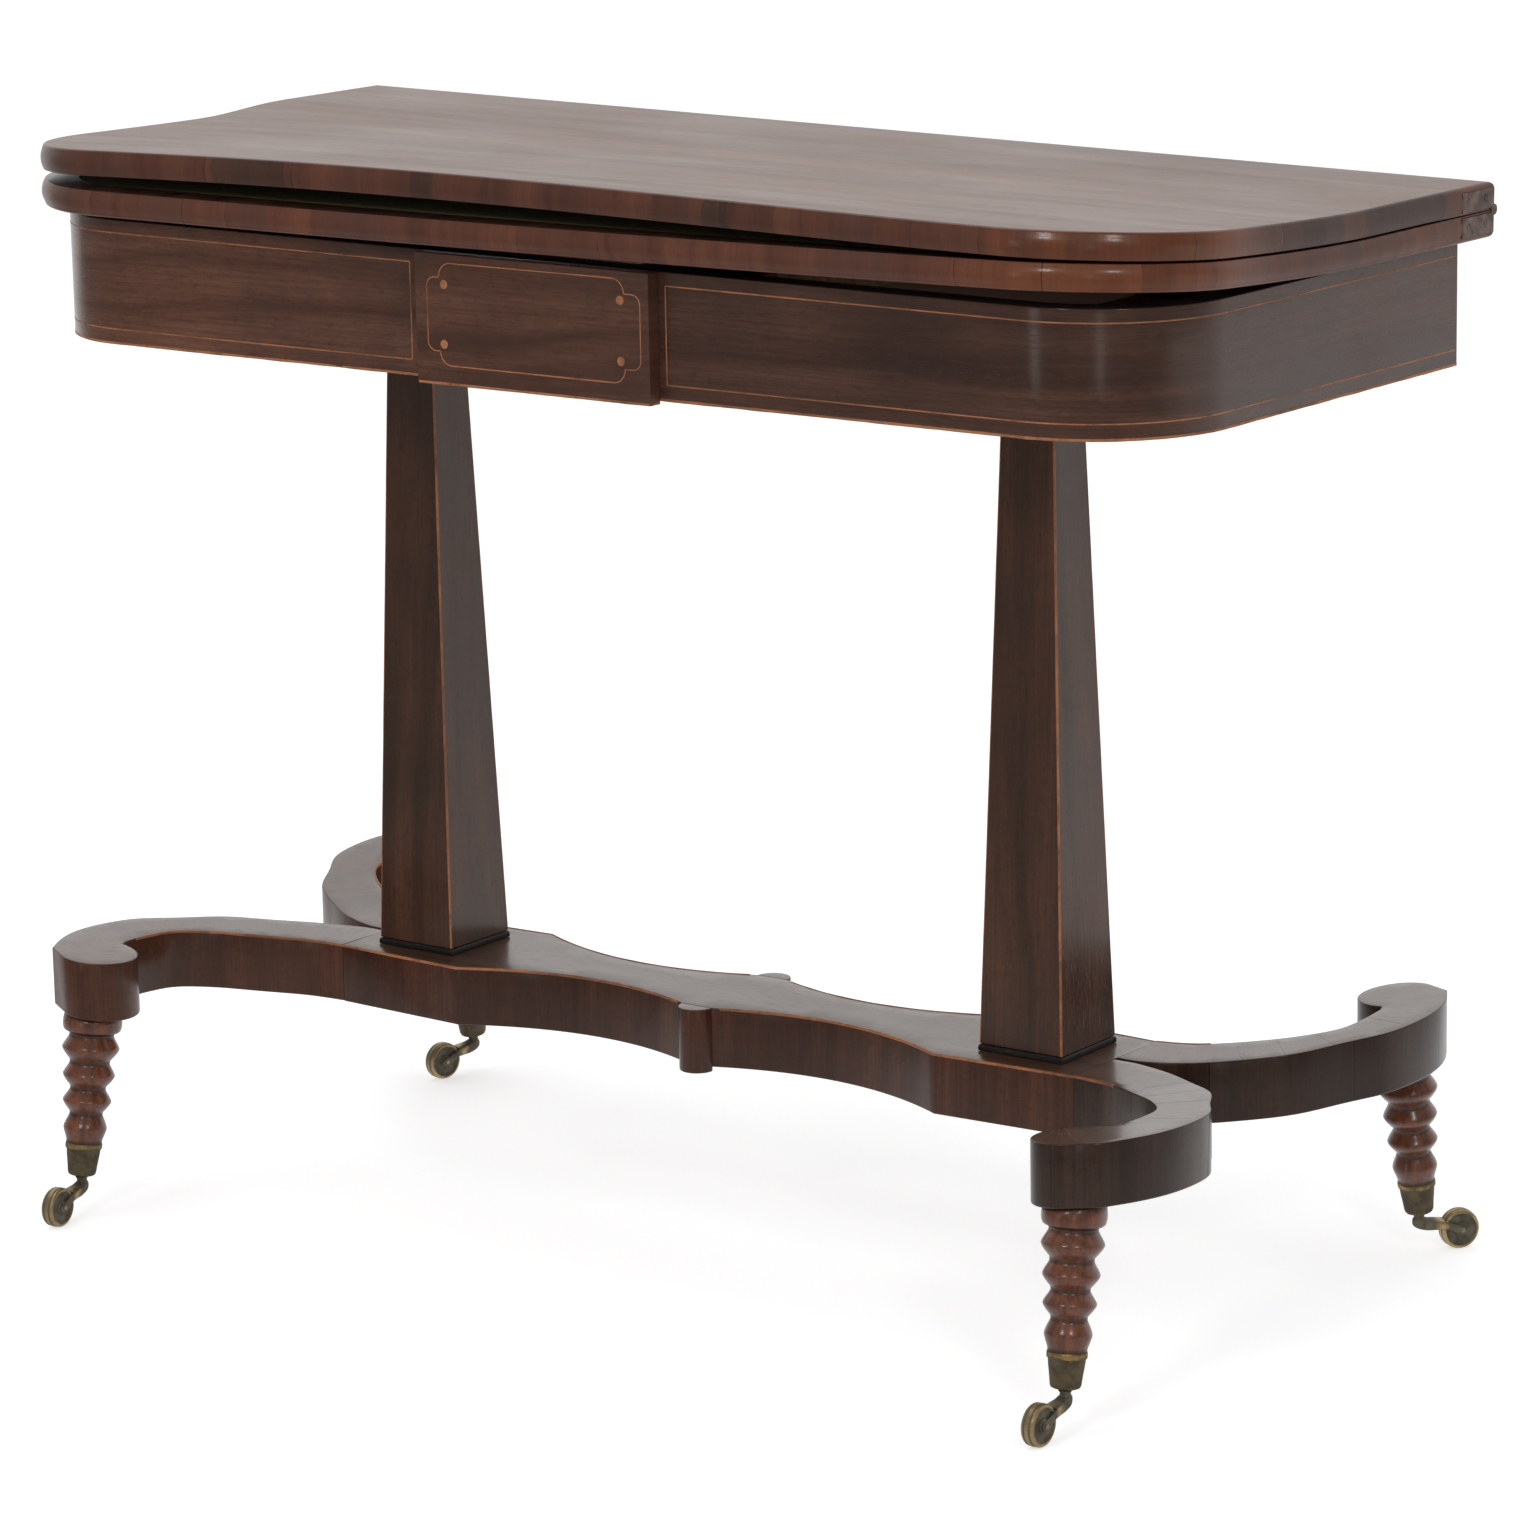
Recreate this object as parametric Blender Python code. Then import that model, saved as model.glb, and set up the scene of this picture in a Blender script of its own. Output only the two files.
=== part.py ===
"""Card table with a folding top that swivels on its frame, on two tapered columns, a platform with
four scrolled arms, turned feet and brass casters. Lengths are in metres, +Z is up, +X runs along the
table's length and +Y to its back. The photographed table is old, and its warped top is part of the model."""

import math

import bmesh
import bpy
from mathutils import Matrix, Vector
from mathutils.geometry import tessellate_polygon

# Clearances
SEAT_GAP = 0.0003
RUNNING_GAP = 0.0005
CUT_OVERRUN = 0.004

# Top leaves, measured on the closed top: the front and back edges from the frame's middle plane
TOP_WIDTH = 0.914
LEAF_FRONT = 0.209
LEAF_BACK = 0.201
LEAF_CORNER_RADIUS = 0.100
LEAF_THICKNESS = 0.017
LEAF_GAP = 0.0012
BANDING_WIDTH = 0.025
BAIZE_RECESS = 0.001
BAIZE_THICKNESS = 0.0007

# Warp of the top: its left end stands up, and each leaf's front edge curls by five amounts, left to right
TOP_LIFT = 0.014
CUP_START = 0.150
CUP_POWER = 1.5
UPPER_CUP = (0.0003, 0.0088, 0.0124, 0.0119, 0.0143)
LOWER_CUP = (-0.0050, -0.0023, 0.0017, 0.0070, 0.0140)
LEAF_ROW_SHARES = (0.0, 0.37, 0.53, 0.67, 0.80, 0.91, 1.0)
LEAF_STRAIGHT_STEPS = 8
LEAF_CORNER_STEPS = 5

# Hinges let into the leaves' ends at the back corners
HINGE_LENGTH = 0.040
HINGE_HEIGHT = 0.0125
HINGE_THICKNESS = 0.0024
HINGE_INSET = 0.001
HINGE_EYE_RADIUS = 0.0035
HINGE_PIN_RADIUS = 0.001

# Frame under the top
FRAME_HALF_LENGTH = 0.446
FRAME_FRONT = 0.187
FRAME_BACK = 0.175
FRAME_HEIGHT = 0.078
FRAME_RISE = 0.005
FRAME_CORNER_RADIUS = 0.088
RAIL_THICKNESS = 0.020
TOP_SEAT_GAP = 0.0005
TABLET_WIDTH = 0.185
TABLET_THICKNESS = 0.0097
TABLET_DROP = 0.002
BEARER_WIDTH = 0.064
BEARER_HEIGHT = 0.030
WELL_LENGTH = 0.372
WELL_BOTTOM_THICKNESS = 0.008
PARTITION_THICKNESS = 0.010

# Pivot that the top turns on
PIVOT_BOARD_WIDTH = 0.096
PIVOT_BOARD_THICKNESS = 0.022
PIVOT_DISC_RADIUS = 0.028
PIVOT_BOLT_RADIUS = 0.006
PIVOT_HEAD_RADIUS = 0.010
PIVOT_HEAD_THICKNESS = 0.0022
PIVOT_WASHER_RADIUS = 0.016
PIVOT_WASHER_THICKNESS = 0.002
PIVOT_NUT_RADIUS = 0.011
PIVOT_NUT_THICKNESS = 0.008
PIVOT_BOLT_TAIL = 0.002
STOP_PEG_RADIUS = 0.004
STOP_STUD_RADIUS = 0.003
STOP_CIRCLE_RADIUS = 0.0375
STOP_PEG_ANGLE = math.radians(180)
SWIVEL_RANGE = math.radians(90)

# Columns
COLUMN_SPREAD = 0.500
COLUMN_LENGTH = 0.433
COLUMN_FOOT_WIDTH = 0.0628
COLUMN_FOOT_DEPTH = 0.0618
COLUMN_HEAD_WIDTH = 0.0384
COLUMN_HEAD_DEPTH = 0.0328
COLUMN_TENON_WIDTH = 0.026
COLUMN_TENON_DEPTH = 0.022
COLUMN_TENON_LENGTH = 0.024
COLUMN_BASE_HEIGHT = 0.0045
COLUMN_BASE_MARGIN = 0.0008

# Platform and arms; the margins run from the columns' faces to the platform's ends and kinks
PLATFORM_END_MARGIN = 0.0206
PLATFORM_END_WIDTH = 0.096
PLATFORM_KINK_MARGIN = 0.0216
PLATFORM_KINK_WIDTH = 0.106
PLATFORM_HOLLOW_DEPTH = 0.0215
PLATFORM_HOLLOW_STEPS = 10
ROUNDEL_RADIUS = 0.011
ROUNDEL_SEAT = 0.0425
ROUNDEL_DROP = 0.003
ARM_REACH = 0.0978
ARM_THICKNESS = 0.0405
ARM_RISE = 0.0131
ARM_RISE_SHARES = (0.0, 1.156)
ARM_HEAD_SHARE = 2.0
ARM_HEAD_RADII = (0.0218, 0.0346)
ARM_HEAD_ANGLES = (math.radians(70), math.radians(275))
ARM_OUTER_SHARES = (
    (0.0, 0.010),
    (0.202, 0.014),
    (0.497, 0.066),
    (0.776, 0.153),
    (1.055, 0.261),
    (1.251, 0.418),
    (1.406, 0.545),
    (1.462, 0.686),
    (1.453, 0.826),
    (1.383, 0.942),
    (1.265, 1.052),
)
ARM_INNER_SHARES = (
    (1.056, 0.790),
    (1.060, 0.670),
    (1.020, 0.555),
    (0.860, 0.457),
    (0.653, 0.380),
    (0.306, 0.280),
    (0.0, 0.246),
)

# Turned feet, which lean outward by the two splays from the arm's underside to the floor; their spread is
# measured at their tops
FOOT_SPREAD_Y = 0.3910
FOOT_SPLAY_X = 0.0034
FOOT_SPLAY_Y = 0.0202
FOOT_HEIGHT = 0.0900
FOOT_RADIUS = 0.0202
FOOT_DOWEL_RADIUS = 0.008
FOOT_DOWEL_LENGTH = 0.028
FOOT_GROOVE_SHARES = ((0.0, 0.611), (0.221, 0.567), (0.416, 0.611), (0.618, 0.688), (0.829, 0.762))
FOOT_BEAD_SHARES = (0.733, 0.822, 0.881, 0.970)
FOOT_COLLAR_SHARES = ((0.865, 0.97), (0.92, 1.0), (1.0, 0.95))
BEAD_RING_SHARES = (0.2, 0.5, 0.8)
BEAD_FULLNESS = 0.6

# Brass ferrules and casters
FERRULE_LENGTH = 0.0228
FERRULE_TOP_RADIUS = 0.01235
FERRULE_BOTTOM_RADIUS = 0.00965
FERRULE_WALL = 0.0013
FERRULE_FLOOR = 0.006
CASTER_HEADROOM = 0.0013
CASTER_NECK_RADIUS = 0.0039
CASTER_STEM_RADIUS = 0.0022
CASTER_STEM_LENGTH = 0.0045
CASTER_TRAIL = 0.029
CASTER_KNUCKLE_HEIGHT = 0.021
FORK_CHEEK_THICKNESS = 0.0016
FORK_END_RADIUS = 0.0042
KNUCKLE_SHARES = ((-1.0, 0.6, 0.5), (-0.5, 1.0, 0.9), (1.0, 1.2, 1.0))
FORK_END_SHARES = ((0.7, 0.7), (1.0, 0.2))
WHEEL_RADIUS = 0.0135
WHEEL_WIDTH = 0.009
WHEEL_HUB_RADIUS = 0.0045
WHEEL_RIM_WIDTH = 0.0025
WHEEL_WEB_RECESS = 0.001
WHEEL_TREAD_ROUNDING = 0.0012
AXLE_RADIUS = 0.0015

# Heights that follow from the sizes above
WHEEL_TOP = WHEEL_RADIUS + WHEEL_RADIUS
FERRULE_BASE = WHEEL_TOP + CASTER_HEADROOM
FOOT_BASE = FERRULE_BASE + FERRULE_LENGTH
FOOT_TOP = FOOT_BASE + FOOT_HEIGHT
PLATFORM_TOP = FOOT_TOP + ARM_THICKNESS - ARM_RISE
PLATFORM_BASE = PLATFORM_TOP - ARM_THICKNESS
FRAME_BASE = PLATFORM_TOP + COLUMN_LENGTH
FRAME_TOP = FRAME_BASE + FRAME_HEIGHT
TOP_BASE = FRAME_TOP + TOP_SEAT_GAP

# Places that follow from the sizes above
TOP_HALF_WIDTH = TOP_WIDTH / 2
LEAF_DEPTH = LEAF_FRONT + LEAF_BACK
PIVOT_X = LEAF_DEPTH / 4
PIVOT_Y = (LEAF_BACK - LEAF_FRONT) / 2 + PIVOT_X
TOP_TILT = math.atan2(TOP_LIFT, TOP_WIDTH)
HINGE_AXIS_Y = LEAF_BACK + SEAT_GAP
HINGE_AXIS_HEIGHT = LEAF_THICKNESS + LEAF_GAP / 2
PLATFORM_HALF_LENGTH = (COLUMN_SPREAD + COLUMN_FOOT_WIDTH) / 2 + PLATFORM_END_MARGIN
PLATFORM_KINK_X = (COLUMN_SPREAD - COLUMN_FOOT_WIDTH) / 2 - PLATFORM_KINK_MARGIN
FOOT_TOP_X = PLATFORM_HALF_LENGTH + ARM_REACH
FOOT_TOP_Y = FOOT_SPREAD_Y / 2
FORK_HALF_WIDTH = WHEEL_WIDTH / 2 + RUNNING_GAP + FORK_CHEEK_THICKNESS

# Corners of the table: the signs of their X and Y, and where each caster's wheel trails at rest
CORNERS = {
    "front_left": (-1, -1, math.radians(277.3)),
    "front_right": (1, -1, math.radians(269.6)),
    "back_left": (-1, 1, math.radians(257.0)),
    "back_right": (1, 1, math.radians(55.6)),
}

# Finishes: colour, roughness and metallic value
ROSEWOOD = ((0.060, 0.028, 0.020), 0.35, 0.0)
SHEEN_ROSEWOOD = ((0.110, 0.055, 0.038), 0.30, 0.0)
FOOT_WOOD = ((0.170, 0.062, 0.036), 0.30, 0.0)
INNER_WOOD = ((0.280, 0.180, 0.100), 0.60, 0.0)
BAIZE_CLOTH = ((0.090, 0.110, 0.050), 0.95, 0.0)
OLD_BRASS = ((0.220, 0.170, 0.090), 0.40, 1.0)
DARK_IRON = ((0.080, 0.075, 0.070), 0.50, 1.0)

TURNED_SEGMENTS = 16
WHEEL_SEGMENTS = 20
SMOOTH_ANGLE = math.radians(35)
SLIDE_ROUNDS = 6


def own_material(name, finish):
    """The material of one object, from a finish."""
    colour, roughness, metallic = finish
    material = bpy.data.materials.new(name + "_finish")
    material.use_nodes = True
    shader = material.node_tree.nodes["Principled BSDF"]
    shader.inputs["Base Color"].default_value = (*colour, 1.0)
    shader.inputs["Roughness"].default_value = roughness
    shader.inputs["Metallic"].default_value = metallic
    return material


def mesh_object(name, vertices, faces, finish, parent=None, smooth=False):
    """A named object from vertices and faces, with its faces turned outward."""
    mesh = bpy.data.meshes.new(name)
    mesh.from_pydata([tuple(vertex) for vertex in vertices], [], faces)
    work = bmesh.new()
    work.from_mesh(mesh)
    bmesh.ops.recalc_face_normals(work, faces=work.faces)
    work.to_mesh(mesh)
    work.free()
    if smooth:
        mesh.shade_smooth()
        mesh.set_sharp_from_angle(angle=SMOOTH_ANGLE)
    mesh.materials.append(own_material(name, finish))
    built = bpy.data.objects.new(name, mesh)
    bpy.context.collection.objects.link(built)
    built.parent = parent
    return built


def height_at(height, x, y):
    """A height that is a number, or a function of the place."""
    return height(x, y) if callable(height) else height


def prism(name, outline, base, top, finish, parent=None, smooth=False):
    """An upright solid on a plan outline, whose base and top are heights or functions of the place."""
    count = len(outline)
    vertices = [(x, y, height_at(base, x, y)) for x, y in outline]
    vertices += [(x, y, height_at(top, x, y)) for x, y in outline]
    caps = tessellate_polygon([[Vector((x, y, 0)) for x, y in outline]])
    faces = [tuple(reversed(cap)) for cap in caps]
    faces += [tuple(count + index for index in cap) for cap in caps]
    for index in range(count):
        following = (index + 1) % count
        faces.append((index, following, count + following, count + index))
    return mesh_object(name, vertices, faces, finish, parent, smooth)


def rectangle(x_low, x_high, y_low, y_high):
    """The plan outline of an upright box."""
    return [(x_low, y_low), (x_high, y_low), (x_high, y_high), (x_low, y_high)]


def loft(name, rings, finish, parent=None, smooth=False, closed=False):
    """A solid through rings of equal length, capped at both ends or closed on itself."""
    count = len(rings[0])
    vertices = [point for ring in rings for point in ring]
    faces = []
    bands = len(rings) if closed else len(rings) - 1
    for band in range(bands):
        near = band * count
        far = (band + 1) % len(rings) * count
        for index in range(count):
            following = (index + 1) % count
            faces.append((near + index, near + following, far + following, far + index))
    if not closed:
        last = (len(rings) - 1) * count
        faces.append(tuple(reversed(range(count))))
        faces.append(tuple(range(last, last + count)))
    return mesh_object(name, vertices, faces, finish, parent, smooth)


def circle(radius, height, segments=TURNED_SEGMENTS):
    """A level ring of points round the Z axis, with one of them straight down -Y."""
    turns = [2 * math.pi * index / segments - math.pi / 2 for index in range(segments)]
    return [Vector((radius * math.cos(turn), radius * math.sin(turn), height)) for turn in turns]


def turned(name, profile, finish, parent=None, segments=TURNED_SEGMENTS, closed=False):
    """A turned solid round the Z axis from (radius, height) points."""
    rings = [circle(radius, height, segments) for radius, height in profile]
    return loft(name, rings, finish, parent, True, closed)


def combine(target, tool, operation):
    """Cut a tool out of a target, or join it on, and leave the tool out of the model."""
    tool.hide_render = True
    tool.display_type = "WIRE"
    modifier = target.modifiers.new(operation.lower(), "BOOLEAN")
    modifier.operation = operation
    modifier.solver = "EXACT"
    modifier.object = tool


def arc(centre, radius, start, end, steps):
    """Points on an arc between two angles, ends included."""
    angles = [start + (end - start) * step / steps for step in range(steps + 1)]
    return [(centre[0] + radius * math.cos(angle), centre[1] + radius * math.sin(angle)) for angle in angles]


def between(before, start, end, after, share):
    """A coordinate of a smooth curve at a share of the way from the start to the end of one stretch."""
    first = end - before
    second = 2 * before - 5 * start + 4 * end - after
    third = 3 * start - before - 3 * end + after
    return start + share * (first + share * (second + share * third)) / 2


def smooth_through(points, steps):
    """A curve through hand-chosen points, with the same number of steps between each two."""
    padded = [points[0], *points, points[-1]]
    curve = []
    for before, start, end, after in zip(padded, padded[1:], padded[2:], padded[3:]):
        for step in range(steps):
            share = step / steps
            curve.append(tuple(between(*four, share) for four in zip(before, start, end, after)))
    curve.append(tuple(points[-1]))
    return curve


def empty(name, location, parent=None):
    """A joint axis or a frame that pieces hang on."""
    built = bpy.data.objects.new(name, None)
    bpy.context.collection.objects.link(built)
    built.parent = parent
    built.location = location
    return built


def frame_top(x, y):
    """Height of the frame's top edge, which rises towards the left end."""
    return FRAME_TOP + FRAME_RISE * (FRAME_HALF_LENGTH - x) / (2 * FRAME_HALF_LENGTH)


def cup_lift(cup, x, y):
    """How far a warped leaf stands up at a place of the top."""
    reach = max(0.0, LEAF_BACK - y - CUP_START) / (LEAF_DEPTH - CUP_START)
    station = (x / TOP_WIDTH + 1 / 2) * (len(cup) - 1)
    lift = 0.0
    for index, amount in enumerate(cup):
        weight = 1.0
        for other in range(len(cup)):
            if other != index:
                weight *= (station - other) / (index - other)
        lift += amount * weight
    return lift * reach ** CUP_POWER


def leaf_grid(inset):
    """Columns of plan points that fill a leaf's outline, drawn in by an inset."""
    corner = LEAF_CORNER_RADIUS - inset
    straight = TOP_HALF_WIDTH - LEAF_CORNER_RADIUS
    back = LEAF_BACK - inset
    front = -LEAF_FRONT + inset
    columns = []
    for step in range(LEAF_CORNER_STEPS):
        angle = math.pi / 2 * step / LEAF_CORNER_STEPS
        columns.append((-straight - corner * math.cos(angle), front + corner * (1 - math.sin(angle))))
    for step in range(LEAF_STRAIGHT_STEPS + 1):
        columns.append((-straight + 2 * straight * step / LEAF_STRAIGHT_STEPS, front))
    columns += [(-x, y) for x, y in reversed(columns[:LEAF_CORNER_STEPS])]
    return [[(x, back + (near - back) * share) for share in LEAF_ROW_SHARES] for x, near in columns]


def grid_rim(columns):
    """Indices round the edge of a grid of columns, in order."""
    last_column = len(columns) - 1
    last_row = len(columns[0]) - 1
    rim = [(index, last_row) for index in range(last_column)]
    rim += [(last_column, row) for row in range(last_row, 0, -1)]
    rim += [(index, 0) for index in range(last_column, 0, -1)]
    rim += [(0, row) for row in range(last_row)]
    return rim


def grid_faces(columns, offset, upward):
    """Triangles over a grid whose points start at an offset."""
    rows = len(columns[0])
    faces = []
    for column in range(len(columns) - 1):
        for row in range(rows - 1):
            a = offset + column * rows + row
            b = a + 1
            c = b + rows
            d = a + rows
            pair = [(a, b, c), (a, c, d)]
            faces += pair if upward else [tuple(reversed(face)) for face in pair]
    return faces


def band_faces(near, far):
    """Triangles between two closed rows of points."""
    faces = []
    for index in range(len(near)):
        following = (index + 1) % len(near)
        faces.append((near[index], near[following], far[following]))
        faces.append((near[index], far[following], far[index]))
    return faces


def sheet(name, inset, base, top, cup, finish, parent):
    """A warped sheet of the leaf's outline, drawn in by an inset, between two heights."""
    columns = leaf_grid(inset)
    rows = len(columns[0])
    vertices = []
    for height in (base, top):
        vertices += [(x, y, height + cup_lift(cup, x, y)) for column in columns for x, y in column]
    count = len(vertices) // 2
    rim = [column * rows + row for column, row in grid_rim(columns)]
    faces = grid_faces(columns, 0, False) + grid_faces(columns, count, True)
    faces += band_faces(rim, [count + index for index in rim])
    return mesh_object(name, vertices, faces, finish, parent)


def leaf(name, base, cup, recess_up, parent):
    """A warped leaf with the shallow recess for its baize in the playing face."""
    inner = leaf_grid(BANDING_WIDTH)
    outer = leaf_grid(0)
    rows = len(inner[0])
    rim = grid_rim(inner)
    face_height = base + LEAF_THICKNESS if recess_up else base
    back_height = base if recess_up else base + LEAF_THICKNESS
    floor_height = face_height - BAIZE_RECESS if recess_up else face_height + BAIZE_RECESS
    vertices = []
    for height in (floor_height, back_height):
        vertices += [(x, y, height + cup_lift(cup, x, y)) for column in inner for x, y in column]
    grid_count = len(vertices) // 2
    floor_rim = [column * rows + row for column, row in rim]
    back_rim = [grid_count + index for index in floor_rim]
    loops = []
    for columns, height in ((inner, face_height), (outer, face_height), (outer, back_height)):
        loops.append([len(vertices) + index for index in range(len(rim))])
        places = [columns[column][row] for column, row in rim]
        vertices += [(x, y, height + cup_lift(cup, x, y)) for x, y in places]
    faces = grid_faces(inner, 0, recess_up) + grid_faces(inner, grid_count, not recess_up)
    for near, far in zip([floor_rim, *loops], [*loops, back_rim]):
        faces += band_faces(near, far)
    return mesh_object(name, vertices, faces, SHEEN_ROSEWOOD, parent)


def hinge_outline(side):
    """Side view of a hinge plate about its axis; side is 1 for the upper plate and -1 for the lower."""
    near = LEAF_GAP / 2 + HINGE_INSET
    end = -2 * SEAT_GAP
    eye_start = math.atan2(math.sqrt(HINGE_EYE_RADIUS ** 2 - end ** 2), end)
    eye_end = math.pi - math.asin(near / HINGE_EYE_RADIUS) - 2 * math.pi
    outline = [(-HINGE_LENGTH, near), (-HINGE_LENGTH, near + HINGE_HEIGHT), (end, near + HINGE_HEIGHT)]
    outline += arc((0, 0), HINGE_EYE_RADIUS, eye_start, eye_end, TURNED_SEGMENTS)
    return [(y, side * z) for y, z in outline]


def hinge_solid(name, outline, outer, inner, finish, parent):
    """A side-view outline run along the hinge axis between two places of one end."""
    section = [(HINGE_AXIS_Y + y, HINGE_AXIS_HEIGHT + z) for y, z in outline]
    rings = [[Vector((x, y, z)) for y, z in section] for x in (outer, inner)]
    return loft(name, rings, finish, parent)


def hinge_disc(name, radius, outer, inner, finish, parent):
    """A round solid on the hinge axis between two places of one end."""
    outline = arc((0, 0), radius, 0, 2 * math.pi, TURNED_SEGMENTS)[:-1]
    return hinge_solid(name, outline, outer, inner, finish, parent)


def build_hinge(side_name, sign, lower, upper, lower_leaf, upper_leaf):
    """One hinge: two half-lapped plates, each let into the end of its leaf, that turn on a pin."""
    end = sign * TOP_HALF_WIDTH
    inward = -sign
    half = end + inward * HINGE_THICKNESS / 2
    deep = end + inward * HINGE_THICKNESS
    pocket_depth = end + inward * (HINGE_THICKNESS + SEAT_GAP)
    outside = end + sign * CUT_OVERRUN
    lap_gap = SEAT_GAP / 2
    eye_space = HINGE_EYE_RADIUS + SEAT_GAP
    pieces = (("lower", -1, lower, lower_leaf), ("upper", 1, upper, upper_leaf))
    for level, side, parent, wood in pieces:
        name = f"hinge_{level}_{side_name}"
        plate = hinge_solid(name, hinge_outline(side), end, deep, OLD_BRASS, parent)
        if level == "lower":
            lap = (half + sign * lap_gap, pocket_depth)
        else:
            lap = (outside, half + inward * lap_gap)
        combine(plate, hinge_disc(name + "_lap", eye_space, *lap, OLD_BRASS, parent), "DIFFERENCE")
        hole_radius = HINGE_PIN_RADIUS + SEAT_GAP
        hole = hinge_disc(name + "_hole", hole_radius, outside, pocket_depth, OLD_BRASS, parent)
        combine(plate, hole, "DIFFERENCE")
        near = LEAF_GAP / 2 + HINGE_INSET - SEAT_GAP
        far = near + HINGE_HEIGHT + 2 * SEAT_GAP
        back = CUT_OVERRUN
        front = -HINGE_LENGTH - SEAT_GAP
        pocket_outline = [(front, side * near), (front, side * far), (back, side * far), (back, side * near)]
        pocket = hinge_solid(name + "_pocket", pocket_outline, outside, pocket_depth, OLD_BRASS, parent)
        combine(wood, pocket, "DIFFERENCE")
        turning_space = HINGE_EYE_RADIUS + RUNNING_GAP
        round_space = hinge_disc(name + "_space", turning_space, outside, pocket_depth, OLD_BRASS, parent)
        combine(wood, round_space, "DIFFERENCE")
    hinge_disc(f"hinge_pin_{side_name}", HINGE_PIN_RADIUS, end, deep, OLD_BRASS, lower)


def build_top(root):
    """Both leaves with their baize and hinges, on the swivel and the fold axis."""
    swivel = empty("top_swivel_axis", (PIVOT_X, PIVOT_Y, TOP_BASE), root)
    tilt = empty("top_tilt", (TOP_HALF_WIDTH - PIVOT_X, -PIVOT_Y, 0), swivel)
    tilt.rotation_euler = (0, TOP_TILT, 0)
    lower = empty("lower_leaf_frame", (-TOP_HALF_WIDTH, 0, 0), tilt)
    fold = empty("leaf_fold_axis", (0, HINGE_AXIS_Y, HINGE_AXIS_HEIGHT), lower)
    upper = empty("upper_leaf_frame", (0, -HINGE_AXIS_Y, -HINGE_AXIS_HEIGHT), fold)

    lower_leaf = leaf("lower_leaf", 0, LOWER_CUP, True, lower)
    upper_base = LEAF_THICKNESS + LEAF_GAP
    upper_leaf = leaf("upper_leaf", upper_base, UPPER_CUP, False, upper)
    cloth_inset = BANDING_WIDTH + SEAT_GAP
    cloth_gap = BAIZE_RECESS - BAIZE_THICKNESS
    lower_cloth = LEAF_THICKNESS - BAIZE_THICKNESS
    sheet("lower_baize", cloth_inset, lower_cloth, LEAF_THICKNESS, LOWER_CUP, BAIZE_CLOTH, lower)
    upper_cloth = upper_base + BAIZE_RECESS - cloth_gap
    sheet("upper_baize", cloth_inset, upper_base, upper_cloth, UPPER_CUP, BAIZE_CLOTH, upper)
    for side_name, sign in (("left", -1), ("right", 1)):
        build_hinge(side_name, sign, lower, upper, lower_leaf, upper_leaf)
    build_pivot(swivel, lower)
    return swivel


def build_pivot(swivel, lower):
    """The disc, bolt, washer, nut and stop peg that turn with the lower leaf."""
    slope = math.tan(TOP_TILT)
    underside = (TOP_HALF_WIDTH - PIVOT_X) * slope
    board_top = FRAME_TOP - TOP_BASE
    disc_sag = PIVOT_DISC_RADIUS * math.sin(TOP_TILT)
    disc_base = -(underside - board_top - SEAT_GAP - disc_sag)
    bolt_space = PIVOT_BOLT_RADIUS + RUNNING_GAP
    head_space = PIVOT_HEAD_RADIUS + RUNNING_GAP
    head_floor = -SEAT_GAP - PIVOT_HEAD_THICKNESS - 2 * RUNNING_GAP
    disc_profile = [
        (bolt_space, disc_base),
        (PIVOT_DISC_RADIUS, disc_base),
        (PIVOT_DISC_RADIUS, -SEAT_GAP),
        (head_space, -SEAT_GAP),
        (head_space, head_floor),
        (bolt_space, head_floor),
    ]
    disc = turned("pivot_disc", disc_profile, OLD_BRASS, lower, TURNED_SEGMENTS * 2, True)
    disc.location = (PIVOT_X, PIVOT_Y, 0)

    head_top = underside - 2 * SEAT_GAP
    head_base = head_top - PIVOT_HEAD_THICKNESS
    board_base = board_top - PIVOT_BOARD_THICKNESS
    washer_top = board_base - SEAT_GAP
    washer_base = washer_top - PIVOT_WASHER_THICKNESS
    nut_top = washer_base - SEAT_GAP
    nut_base = nut_top - PIVOT_NUT_THICKNESS
    bolt_profile = [
        (PIVOT_BOLT_RADIUS, nut_base - PIVOT_BOLT_TAIL),
        (PIVOT_BOLT_RADIUS, head_base),
        (PIVOT_HEAD_RADIUS, head_base),
        (PIVOT_HEAD_RADIUS, head_top),
    ]
    turned("pivot_bolt", bolt_profile, DARK_IRON, swivel)
    hole = PIVOT_BOLT_RADIUS + SEAT_GAP
    washer_profile = [
        (hole, washer_base),
        (PIVOT_WASHER_RADIUS, washer_base),
        (PIVOT_WASHER_RADIUS, washer_top),
        (hole, washer_top),
    ]
    turned("pivot_washer", washer_profile, DARK_IRON, swivel, closed=True)
    hexagon = [(x, y) for x, y, z in circle(PIVOT_NUT_RADIUS, 0, 6)]
    nut = prism("pivot_nut", hexagon, nut_base, nut_top, DARK_IRON, swivel)
    bore_profile = [(hole, nut_base - CUT_OVERRUN), (hole, nut_top + CUT_OVERRUN)]
    combine(nut, turned("pivot_nut_bore", bore_profile, DARK_IRON, swivel), "DIFFERENCE")

    peg_x = PIVOT_X + STOP_CIRCLE_RADIUS * math.cos(STOP_PEG_ANGLE)
    peg_y = PIVOT_Y + STOP_CIRCLE_RADIUS * math.sin(STOP_PEG_ANGLE)
    peg_profile = [(STOP_PEG_RADIUS, disc_base + RUNNING_GAP), (STOP_PEG_RADIUS, -SEAT_GAP)]
    peg = turned("stop_peg", peg_profile, OLD_BRASS, lower)
    peg.location = (peg_x, peg_y, 0)


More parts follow.
